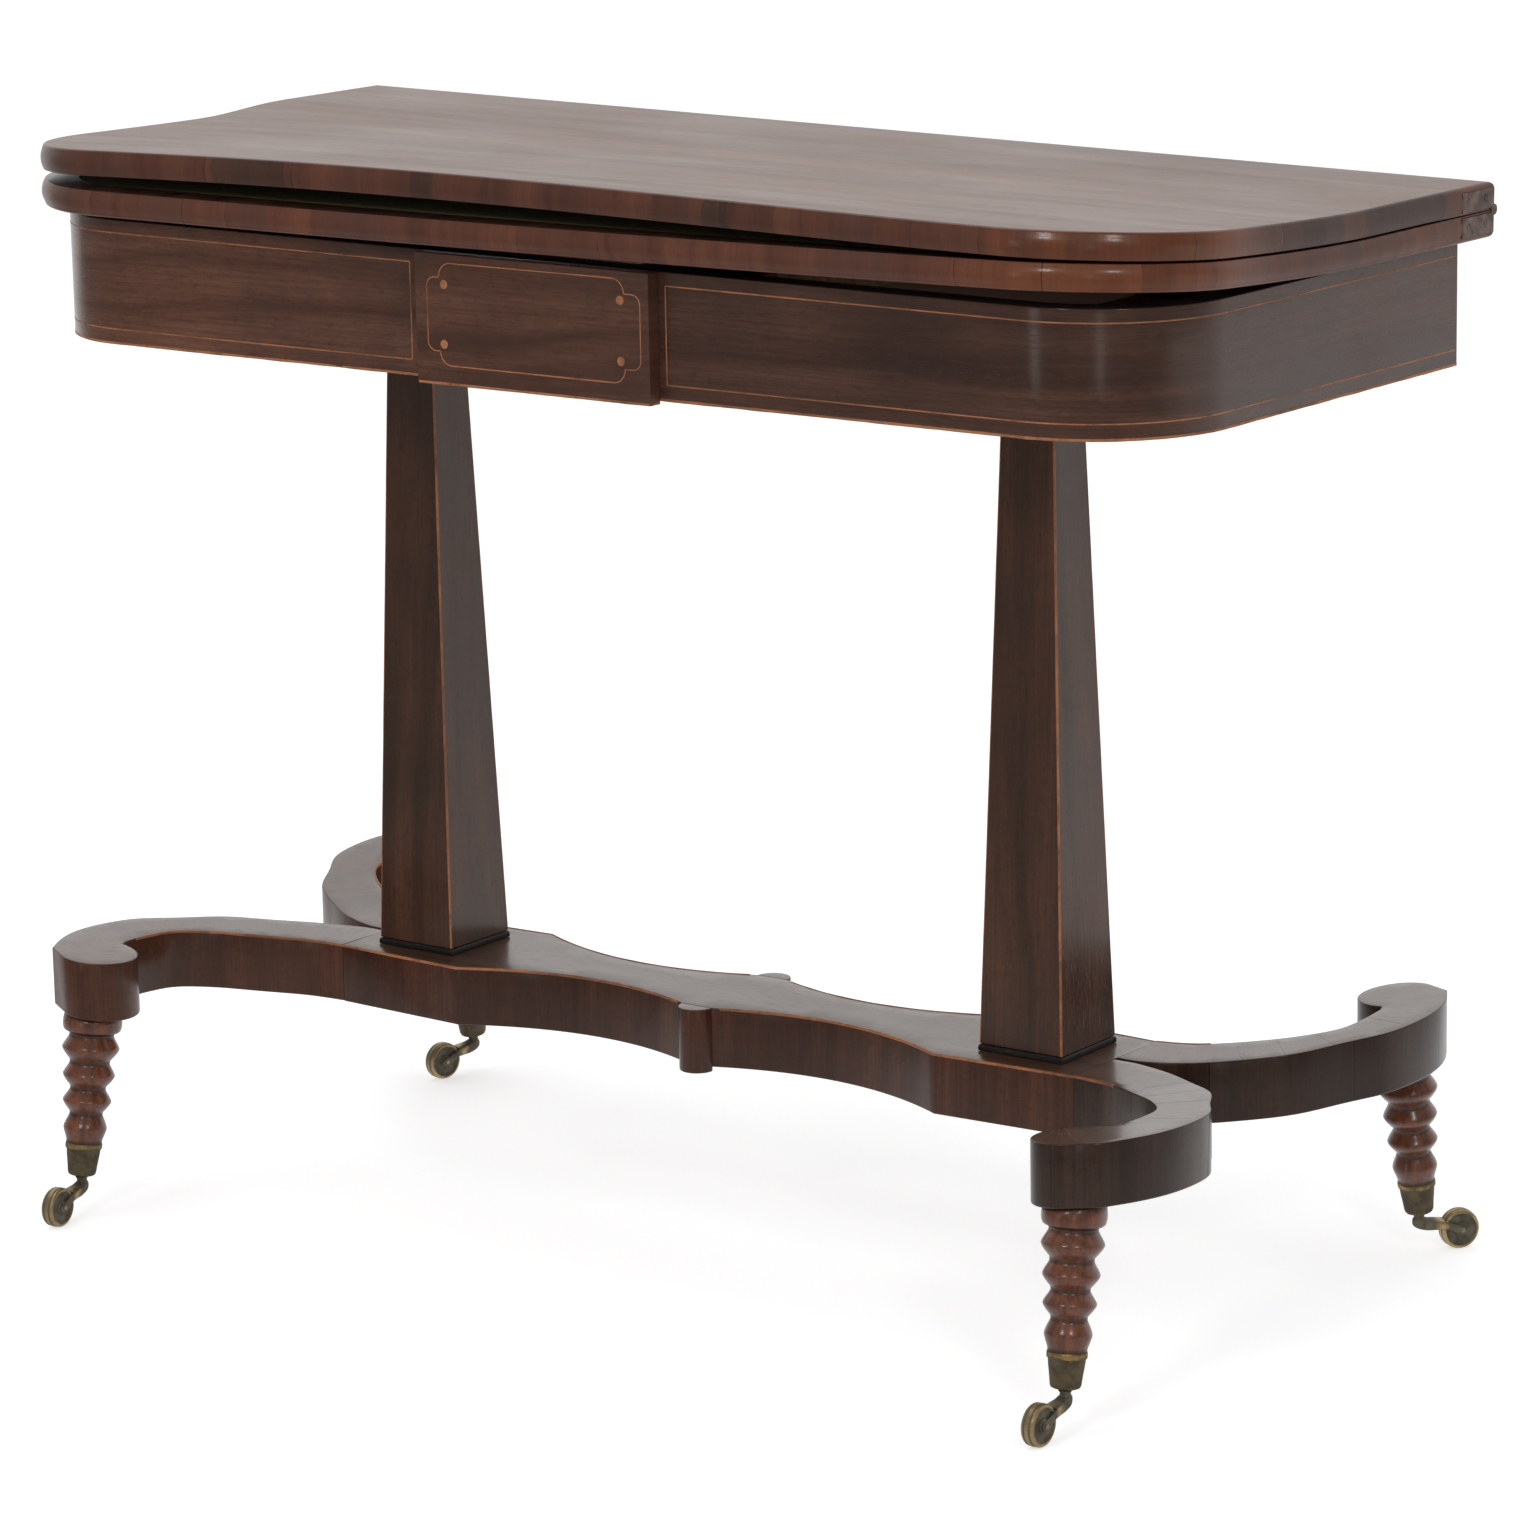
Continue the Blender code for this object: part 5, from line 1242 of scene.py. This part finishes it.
def leaf_body(base, cup, playing_up, swell):
    """A leaf with rounded edges that are flat round the hinges. Kind 0 is its edge, 1 its outer face, 2 its
    border and 3 the recess."""
    built = Body()
    columns = leaf_columns(0.0)
    order = rim_order(columns)
    lengths = run_lengths([columns[c][r] for c, r in order])
    face_height = base + leaf_thickness if playing_up else base
    back_height = base if playing_up else base + leaf_thickness
    toward = 1 if playing_up else -1

    def row(inset, depth, back_inset, back_depth):
        """One ring round the leaf, at a depth below its outer face; the back edge has an inset and a depth of
        its own."""
        plain, worn = leaf_columns(inset), leaf_columns(back_inset)
        points = []
        for c, r in order:
            share = (1.0, 0.8, 0.75, 0.7, 0.3)[r] if r < 5 else 0.0
            x, y = (a + (b - a) * share for a, b in zip(plain[c][r], worn[c][r]))
            height = back_height + toward * (depth + (back_depth - depth) * share)
            points.append(set_top @ Vector((x, y, height + curl(cup, x, y))))
        return built.add(points)

    def joined(near, far, low, high, kind):
        if playing_up:
            built.band(near, far, lengths, low, high, kind)
        else:
            built.band(far, near, lengths, high, low, kind)

    profiles = [edge_profile(0.0022, 0.0009, swell, leaf_thickness),
                edge_profile(0.0036, 0.0003, 0.0003, leaf_thickness + 0.0004)]
    rings = [(depth, row(inset, depth, back_inset, back_depth))
             for (inset, depth), (back_inset, back_depth) in zip(*profiles)]
    for (near_depth, near), (far_depth, far) in zip(rings, rings[1:]):
        joined(near, far, near_depth, far_depth, 0)
    recess_rim = row(border_width, leaf_thickness, border_width, leaf_thickness)
    floor_columns = leaf_columns(border_width)
    floor = built.add(warped(sum(floor_columns, []), face_height - toward * cloth_recess, cup))
    floor_rim = [floor[c * len(leaf_rows) + r] for c, r in order]
    joined(rings[-1][1], recess_rim, 0.0, border_width, 2)
    joined(recess_rim, floor_rim, border_width, border_width + cloth_recess, 2)
    leaf_grid_faces(built, floor, floor_columns, playing_up, 3)
    back_columns = leaf_columns(profiles[0][0][0])
    back_names = []
    back_ring = dict(zip(order, rings[0][1]))
    for c, line in enumerate(back_columns):
        for r, (x, y) in enumerate(line):
            if (c, r) in back_ring:
                back_names.append(back_ring[(c, r)])
            else:
                back_names += built.add(warped([(x, y)], back_height, cup))
    leaf_grid_faces(built, back_names, back_columns, not playing_up, 1)
    return built


hinge_axis_y = leaf_back + 0.0003
hinge_axis_height = leaf_thickness + leaf_gap / 2
pocket_depth, pocket_length = 0.0027, 0.0401
pocket_low, pocket_high = 0.0015, 0.0142
eye_room = 0.0040
clear = 0.001


def hinge_rooms(side):
    """Tools that cut both hinges' places out of a leaf; side is -1 for the lower leaf and 1 for the upper."""
    tools = []
    for end in (-1, 1):
        deep, outside = end * (leaf_half - pocket_depth), end * (leaf_half + clear)
        pocket = Body()
        rings = []
        for y, z in ((-pocket_length, pocket_low), (-pocket_length, pocket_high), (clear, pocket_high),
                     (clear, pocket_low)):
            rings.append(pocket.add([set_top @ Vector((x, hinge_axis_y + y, hinge_axis_height + side * z))
                                     for x in (deep, outside)]))
        for near, far in zip(rings, [*rings[1:], rings[0]]):
            pocket.band(near, far, [0.0, 0.004], 0.0, 0.01, closed=False)
        pocket.face([ring[0] for ring in rings], [(0.0, 0.0)] * 4)
        pocket.face([ring[1] for ring in rings][::-1], [(0.0, 0.0)] * 4)
        set_eye = (set_top @ Matrix.Translation((0, hinge_axis_y, hinge_axis_height))
                   @ Matrix.Rotation(math.pi / 2, 4, "Y"))
        eye = lathe([(eye_room, deep, 0.0), (eye_room, outside, 0.0)], lambda point: set_eye @ point, 32)
        tools += [(pocket, "DIFFERENCE"), (eye, "DIFFERENCE")]
    return tools


def edge_veneer(name, tones, shift, odd_lengths=()):
    """Cross-grained veneer in short lengths round a leaf's edge, each cut from another part of the log; the right
    corner is warm, the right end is darker and has less coat, and some lengths of their own have a tint."""
    finish = Finish(name, Specular_IOR_Level=0.35, Specular_Tint=(1.0, 0.90, 0.80, 1.0), Coat_Roughness=0.15)
    u, v, _ = finish.place("UV")
    slow = finish.noise(finish.vector(u * 2.0, shift, 0.0), 1.0)
    run = u * 19.0 + slow * 5.0 + shift
    cell = finish.node("ShaderNodeTexVoronoi", {"voronoi_dimensions": "1D"}, {"W": run, "Scale": 1.0},
                       "Color")
    parts = finish.tree.nodes.new("ShaderNodeSeparateXYZ")
    finish.feed(parts.inputs[0], cell)
    first, second = Amount(finish, parts.outputs[0]), Amount(finish, parts.outputs[1])
    joint = finish.node("ShaderNodeTexVoronoi", {"voronoi_dimensions": "1D", "feature": "DISTANCE_TO_EDGE"},
                        {"W": run, "Scale": 1.0})
    colour, streaks, cut = figured(finish, v * 1.5 + first, u + second, tones, 0.28)
    grey = (tones[0][0] * 1.25, tones[0][1] * 1.55, tones[0][2] * 1.9)
    cloud = finish.noise(finish.vector(u * 14.0, v * 14.0, shift), 3.0, 0.6)
    fibre = finish.noise(finish.vector(u * 700.0, v * 30.0, shift), 3.0, 0.65)
    colour = finish.mix(first.between(0.6, 0.95) * 0.55, colour, grey)
    colour = finish.mix(second.between(0.5, 1.0) * 0.22, colour, tones[2])
    colour = finish.mix(cloud.between(0.5, 0.72) * 0.5, colour, grey)
    colour = finish.mix(fibre.between(0.5, 0.75) * 0.35, colour, tones[0])
    seam = (1 - joint.between(0.002, 0.010)) * second.between(0.45, 0.75)
    ragged = u + cloud * 0.01
    for start, end, tint in odd_lengths:
        length = ragged.between(start - 0.002, start) * (1 - ragged.between(end, end + 0.002))
        colour = finish.tinted(length, colour, tint)
    drifting = u + cloud * 0.06
    corner_run = u.between(1.13, 1.21) * (1 - drifting.between(1.37, 1.40))
    colour = finish.tinted(corner_run, colour, (1.32, 1.14, 0.80))
    right_end = drifting.between(1.38, 1.42)
    colour = finish.tinted(right_end, colour, (0.80, 0.66, 0.58))
    colour = finish.mix(seam * 0.85, colour, (0.010, 0.006, 0.005))
    waves = finish.noise(finish.vector(u * 40.0, v * 60.0, shift), 2.0)
    finish.bump(streaks * 0.3 - cut * 0.4 - seam * 2.0 + waves * 1.6, 0.00008)
    return finish.show(Base_Color=colour, Roughness=0.30 + first * 0.08 + streaks * 0.06,
                       Coat_Weight=(0.18 + cloud * 0.2) * (1 - right_end * 0.7))


edge_tones = ((0.056, 0.019, 0.012), (0.096, 0.031, 0.0175), (0.140, 0.047, 0.024))
border_tones = ((0.030, 0.013, 0.009), (0.064, 0.026, 0.016), (0.110, 0.046, 0.028))
lower_edge_tones = ((0.068, 0.023, 0.0145), (0.118, 0.038, 0.0215), (0.170, 0.056, 0.028))
lower_odd_lengths = ((1.540, 1.800, (1.20, 1.35, 1.25)),)
lower_edge = edge_veneer("lower_leaf_edge_veneer", lower_edge_tones, 3.0, lower_odd_lengths)
lower_outer = plain_wood("lower_leaf_underside", rail_tones, 0.7)
lower_border = edge_veneer("lower_leaf_border_veneer", border_tones, 9.0)
recess_wood = plain_wood("cloth_bed_wood", inner_tones, 0.8)
lower_leaf = leaf_body(0.0, lower_cup, playing_up=True, swell=0.0020)
lower_leaf.piece("lower_leaf_board", "lower_top", "top_rosewood",
                 [lower_edge, lower_outer, lower_border, recess_wood], "lower_leaf", sharp=50,
                 tools=hinge_rooms(-1))


# Cloth: green woollen baize, glued into the recess of each leaf inside its wooden border. It has faded, and is
# worn thin where the cards were dealt.
def baize_finish():
    """Faded green felt, with darker clumps and paler worn places."""
    finish = Finish("green_baize", Specular_IOR_Level=0.1, Sheen_Weight=0.2, Sheen_Roughness=0.5)
    finish.shader.inputs["Sheen Tint"].default_value = (0.50, 0.44, 0.26, 1.0)
    x, y, z = finish.place("Object")
    felt = finish.noise(finish.vector(x * 1400.0, y * 1400.0, z * 1400.0), 3.0, 0.7)
    clumps = finish.noise(finish.vector(x * 260.0, y * 260.0, z * 260.0), 4.0, 0.6, 1.0)
    wear = finish.noise(finish.vector(x * 7.0, y * 7.0, 2.0), 4.0, 0.6)
    colour = finish.mix(felt.between(0.3, 0.7), (0.078, 0.066, 0.026), (0.125, 0.105, 0.047))
    colour = finish.mix(clumps.between(0.45, 0.7) * 0.4, colour, (0.052, 0.044, 0.019))
    colour = finish.mix(wear.between(0.5, 0.75) * 0.45, colour, (0.160, 0.128, 0.066))
    finish.bump(felt + clumps * 0.8, 0.00025)
    return finish.show(Base_Color=colour, Roughness=0.88 + felt * 0.1)


baize = baize_finish()


cloth_thickness = 0.0007


def declared_cloth(name, body, node_name, low, high, cup):
    """A thin sheet of cloth that fills a leaf's recess and follows its warp."""
    built = Body()
    columns = leaf_columns(border_width + 0.0003)
    order = rim_order(columns)
    rims = []
    for height, upward in ((low, False), (high, True)):
        names = built.add(warped(sum(columns, []), height, cup))
        leaf_grid_faces(built, names, columns, upward, 0)
        rims.append([names[c * len(leaf_rows) + r] for c, r in order])
    plan = [columns[c][r] for c, r in order]
    built.band(*rims, run_lengths(plan), 0.0, cloth_thickness)
    cloth = built.piece(name, body, "baize", [baize], node_name, sharp=40)
    area = abs(sum(plan[index - 1][0] * y - x * plan[index - 1][1] for index, (x, y) in enumerate(plan))) / 2


declared_cloth("lower_baize_cloth", "lower_top", "lower_baize", leaf_thickness - cloth_thickness,
               leaf_thickness, lower_cup)


# Upper leaf: the other half of the top. Its outer face is the finest veneer, with the figure running from end to
# end under a dull polish, and it has opened in a few short cracks.
top_cracks = ((-0.200, -0.140, 0.030, 0.12), (-0.150, -0.128, 0.016, -0.10), (0.020, -0.150, 0.045, 0.05),
              (-0.070, -0.158, 0.020, 0.08))


def sheen_top():
    """The top's outer face: figure along X, a scuffed polish that greys in raking light, and drying cracks."""
    finish = Finish("upper_leaf_veneer", Specular_IOR_Level=0.5, Specular_Tint=(1.0, 0.97, 0.93, 1.0),
                    Coat_Roughness=0.30)
    x, y, _ = finish.place("Object")
    tones = ((0.085, 0.036, 0.019), (0.150, 0.068, 0.038), (0.225, 0.112, 0.068))
    colour, streaks, cut = figured(finish, x * 0.8, y, tones, 0.45)
    scuff = finish.noise(finish.vector(x * 5.0, y * 30.0, 1.0), 4.0, 0.6)
    cloud = finish.noise(finish.vector(x * 6.0, y * 9.0, 4.0), 3.0, 0.5)
    crack = 0.0
    for start_x, start_y, length, slope in top_cracks:
        along = x - start_x
        line = 1 - abs(y - start_y - along * slope).between(0.0002, 0.0007)
        crack = crack + line * along.between(0.0, 0.004) * (1 - along.between(length - 0.006, length))
    colour = finish.mix(crack, colour, (0.008, 0.004, 0.003))
    finish.bump(streaks * 0.25 - cut * 0.3 - crack * 3.0 + cloud * 8.0, 0.0001)
    return finish.show(Base_Color=colour, Roughness=0.33 + scuff * 0.14 + cut * 0.08,
                       Coat_Weight=0.08 + cloud.between(0.4, 0.7) * 0.16)


upper_base = leaf_thickness + leaf_gap
dark_tint = (0.62, 0.78, 0.86)
pale_tint = (1.55, 1.35, 1.15)
upper_odd_lengths = ((0.579, 0.639, dark_tint), (0.744, 0.760, dark_tint), (0.974, 0.990, dark_tint),
                     (1.424, 1.470, dark_tint), (1.497, 1.543, dark_tint), (1.546, 1.592, dark_tint),
                     (1.594, 1.800, pale_tint))
upper_edge = edge_veneer("upper_leaf_edge_veneer", edge_tones, 14.0, upper_odd_lengths)
upper_border = edge_veneer("upper_leaf_border_veneer", border_tones, 21.0)
upper_leaf = leaf_body(upper_base, upper_cup, playing_up=False, swell=0.0015)
upper_leaf.piece("upper_leaf_board", "upper_top", "top_rosewood",
                 [upper_edge, sheen_top(), upper_border, recess_wood], "upper_leaf", sharp=50,
                 tools=hinge_rooms(1))
declared_cloth("upper_baize_cloth", "upper_top", "upper_baize", upper_base, upper_base + cloth_thickness,
               upper_cup)


# Hinges: half-lapped brass plates let into the ends of both leaves at the back, which turn on a pin and are held
# by two slotted screws each.
hinge_brass = brass_finish("hinge_brass", (0.230, 0.165, 0.140), (0.30, 0.21, 0.15), -0.06)
dress(hinge_brass, "hinge_lower_left", "hinge_lower_right", "hinge_upper_left", "hinge_upper_right",
      "hinge_pin_left", "hinge_pin_right")


def screw_tree():
    """Geometry nodes that set slotted countersunk heads on points, each turned by chance."""
    tree, sockets, add = started_tree(
        "slotted_screws", (("Places", "Geometry"), ("Head Radius", "Float"), ("Head Height", "Float"),
                           ("Slot Width", "Float"), ("Seed", "Int"), ("Brass", "Material")), "Screws")
    given = add("NodeGroupInput", {}, {})
    head = add("GeometryNodeMeshCylinder", {}, {"Vertices": 24, "Radius": given["Head Radius"],
                                                "Depth": given["Head Height"]})
    long_side = add("ShaderNodeMath", {"operation": "MULTIPLY"}, {0: given["Head Radius"], 1: 3.0})
    size = add("ShaderNodeCombineXYZ", {},
               {0: long_side[0], 1: given["Slot Width"], 2: given["Head Height"]})
    slot_block = add("GeometryNodeMeshCube", {}, {"Size": size[0]})
    half = add("ShaderNodeMath", {"operation": "MULTIPLY"}, {0: given["Head Height"], 1: 0.6})
    lift = add("ShaderNodeCombineXYZ", {}, {2: half[0]})
    raised = add("GeometryNodeTransform", {}, {"Geometry": slot_block[0], "Translation": lift[0]})
    slotted = add("GeometryNodeMeshBoolean", {"operation": "DIFFERENCE"},
                  {"Mesh 1": head[0], "Mesh 2": raised[0]})
    facing = add("GeometryNodeInputNamedAttribute", {"data_type": "FLOAT_VECTOR"}, {"Name": "facing"})
    aligned = add("FunctionNodeAlignRotationToVector", {"axis": "Z"}, {"Vector": facing[0]})
    chance = add("FunctionNodeRandomValue", {"data_type": "FLOAT"}, {3: 3.1, "Seed": given["Seed"]})
    spin = add("ShaderNodeCombineXYZ", {}, {2: chance[1]})
    euler = add("FunctionNodeEulerToRotation", {}, {0: spin[0]})
    turned_head = add("FunctionNodeRotateRotation", {"rotation_space": "LOCAL"},
                      {"Rotation": aligned[0], "Rotate By": euler[0]})
    placed = add("GeometryNodeInstanceOnPoints", {}, {"Points": given["Places"], "Instance": slotted[0],
                                                      "Rotation": turned_head[0]})
    real = add("GeometryNodeRealizeInstances", {}, {"Geometry": placed[0]})
    painted = add("GeometryNodeSetMaterial", {}, {"Geometry": real[0], "Material": given["Brass"]})
    add("NodeGroupOutput", {}, {0: painted[0]})
    return tree, sockets


screw_maker, screw_sockets = screw_tree()
screw_steps = (0.010, 0.031)
head_proud = 0.00002
for body, height in (("lower", 0.0097), ("upper", upper_base + 0.0078)):
    points = []
    facings = []
    for side in (-1, 1):
        for back_step in screw_steps:
            here = Vector((side * (leaf_half + head_proud), leaf_back - back_step, height))
            points.append(tuple(set_top @ here + middle))
            facings += list(set_top.to_3x3() @ Vector((side, 0, 0)))
    mesh = bpy.data.meshes.new(f"{body}_screw_places")
    mesh.from_pydata(points, [], [])
    mesh.attributes.new("facing", "FLOAT_VECTOR", "POINT").data.foreach_set("vector", facings)
    screws = new_object(f"{body}_hinge_screws", mesh)
    grown(screws, screw_maker, screw_sockets, {"Head Radius": 0.0026, "Head Height": 0.0005,
                                               "Slot Width": 0.0006, "Seed": 7, "Brass": hinge_brass})
    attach(screws, f"{body}_top")


# Studio: a white floor and backdrop that look dimmer from the camera's side when they mirror in the polish, a
# broad lamp above the table, softboxes and low strips of light that the front and the right corner mirror, and
# the camera where the photograph was taken.
def eased(tree, value, near, far, low, high):
    """A brightness that goes smoothly from low to high between two values."""
    bright = tree.nodes.new("ShaderNodeMapRange")
    bright.interpolation_type = "SMOOTHSTEP"
    for socket, amount in (("From Min", near), ("From Max", far), ("To Min", low), ("To Max", high)):
        bright.inputs[socket].default_value = amount
    tree.links.new(value, bright.inputs["Value"])
    return bright.outputs[0]


def mirrored_brightness(tree, place, weights, near, far, low, high):
    """How bright the studio looks in a polished face: dim on the camera's side and white behind the table."""
    parts = tree.nodes.new("ShaderNodeSeparateXYZ")
    tree.links.new(place, parts.inputs[0])
    total = None
    for axis, weight in enumerate(weights):
        step = tree.nodes.new("ShaderNodeMath")
        step.operation = "MULTIPLY_ADD"
        step.inputs[1].default_value = weight
        tree.links.new(parts.outputs[axis], step.inputs[0])
        if total:
            tree.links.new(total, step.inputs[2])
        else:
            step.inputs[2].default_value = 0.0
        total = step.outputs[0]
    return eased(tree, total, near, far, low, high)


def chosen(tree, share, first, second):
    """One of two strengths, by whether a ray is of a kind."""
    pick = tree.nodes.new("ShaderNodeMix")
    tree.links.new(share, pick.inputs[0])
    for socket, value in ((pick.inputs[2], first), (pick.inputs[3], second)):
        if isinstance(value, bpy.types.NodeSocket):
            tree.links.new(value, socket)
        else:
            socket.default_value = value
    return pick.outputs[0]


def floor_finish():
    """White paper to the camera, and a dimmer glow to the polish that mirrors it."""
    material = bpy.data.materials.new("white_floor")
    material.use_nodes = True
    tree = material.node_tree
    tree.nodes.clear()
    paper = tree.nodes.new("ShaderNodeBsdfDiffuse")
    paper.inputs["Color"].default_value = (0.82, 0.82, 0.82, 1)
    rays = tree.nodes.new("ShaderNodeLightPath")
    where = tree.nodes.new("ShaderNodeTexCoord")
    glow = tree.nodes.new("ShaderNodeEmission")
    tree.links.new(chosen(tree, rays.outputs["Is Camera Ray"], 0.0, 0.55), glow.inputs["Strength"])
    lit = tree.nodes.new("ShaderNodeAddShader")
    tree.links.new(paper.outputs[0], lit.inputs[0])
    tree.links.new(glow.outputs[0], lit.inputs[1])
    mirrored = tree.nodes.new("ShaderNodeEmission")
    distance = tree.nodes.new("ShaderNodeVectorMath")
    distance.operation = "LENGTH"
    tree.links.new(where.outputs["Object"], distance.inputs[0])
    strength = tree.nodes.new("ShaderNodeMath")
    far_glow = mirrored_brightness(tree, where.outputs["Object"], (0.05, 1.0, 0.0), -0.9, 0.9, 0.215, 0.84)
    near_glow = eased(tree, distance.outputs["Value"], 0.7, 1.7, 0.22, 0.0)
    tree.links.new(far_glow, strength.inputs[0])
    tree.links.new(near_glow, strength.inputs[1])
    tree.links.new(strength.outputs[0], mirrored.inputs["Strength"])
    both = tree.nodes.new("ShaderNodeMixShader")
    tree.links.new(rays.outputs["Is Glossy Ray"], both.inputs[0])
    tree.links.new(lit.outputs[0], both.inputs[1])
    tree.links.new(mirrored.outputs[0], both.inputs[2])
    out = tree.nodes.new("ShaderNodeOutputMaterial")
    tree.links.new(both.outputs[0], out.inputs[0])
    return material


floor_half = 30
floor_mesh = bpy.data.meshes.new("studio_floor")
floor_mesh.from_pydata([(x * floor_half, y * floor_half, 0) for x, y in ((-1, -1), (1, -1), (1, 1), (-1, 1))],
                       [], [(0, 1, 2, 3)])
floor_mesh.materials.append(floor_finish())
floor = new_object("studio_floor", floor_mesh)

world = bpy.data.worlds.new("studio")
bpy.context.scene.world = world
world.use_nodes = True
tree = world.node_tree
background = tree.nodes["Background"]
background.inputs["Color"].default_value = (1, 1, 1, 1)
rays = tree.nodes.new("ShaderNodeLightPath")
where = tree.nodes.new("ShaderNodeTexCoord")
mirrored = mirrored_brightness(tree, where.outputs["Generated"], (-0.35, 1.0, 0.3), -0.1, 1.05, 0.24, 1.0)
reflected = chosen(tree, rays.outputs["Is Glossy Ray"], 0.60, mirrored)
through = chosen(tree, rays.outputs["Is Transmission Ray"], reflected, 1.0)
tree.links.new(chosen(tree, rays.outputs["Is Camera Ray"], through, 1.0), background.inputs["Strength"])

lit_place = Vector((0, 0, 0.4))
for name, place, width, height, power in (("lamp_above", (-0.6, -0.3, 2.9), 1.8, 1.8, 15.0),
                                          ("softbox_front", (0.45, -2.75, 1.85), 0.40, 0.40, 11.0),
                                          ("softbox_right", (2.30, -1.70, 1.75), 0.34, 0.34, 8.0),
                                          ("strip_front", (-0.50, -2.70, 0.52), 0.30, 1.00, 1.45),
                                          ("strip_right", (1.80, -2.30, 0.52), 0.22, 1.00, 1.0)):
    lamp_data = bpy.data.lights.new(name, "AREA")
    lamp_data.shape = "RECTANGLE"
    lamp_data.size = width
    lamp_data.size_y = height
    lamp_data.energy = power
    lamp = new_object(name, lamp_data)
    lamp.location = place
    lamp.rotation_mode = "QUATERNION"
    lamp.rotation_quaternion = (lit_place - Vector(place)).to_track_quat("-Z", "Y")

photo_side = 1533
focal_length = 5800
lens_centre = (782.49, 771.76)
camera_place = (2.24354, -2.98048, 1.1853)
yaw, pitch, roll = (math.radians(angle) for angle in (36.4213, -13.079, -1.0345))
forward = Vector((-math.sin(yaw) * math.cos(pitch), math.cos(yaw) * math.cos(pitch), math.sin(pitch)))
level_right = Vector((math.cos(yaw), math.sin(yaw), 0))
level_up = level_right.cross(forward)
camera_right = level_right * math.cos(roll) + level_up * math.sin(roll)
camera_up = level_up * math.cos(roll) - level_right * math.sin(roll)
camera_data = bpy.data.cameras.new("photo_camera")
camera_data.sensor_width = 36.0
camera_data.lens = focal_length / photo_side * camera_data.sensor_width
camera_data.shift_x = (photo_side / 2 - lens_centre[0]) / photo_side
camera_data.shift_y = (lens_centre[1] - photo_side / 2) / photo_side
camera_data.clip_end = 100.0
camera = new_object("photo_camera", camera_data)
camera.matrix_world = (Matrix.Translation(camera_place)
                       @ Matrix((camera_right, camera_up, -forward)).transposed().to_4x4())
bpy.context.scene.camera = camera
bpy.context.scene.view_settings.view_transform = "Standard"
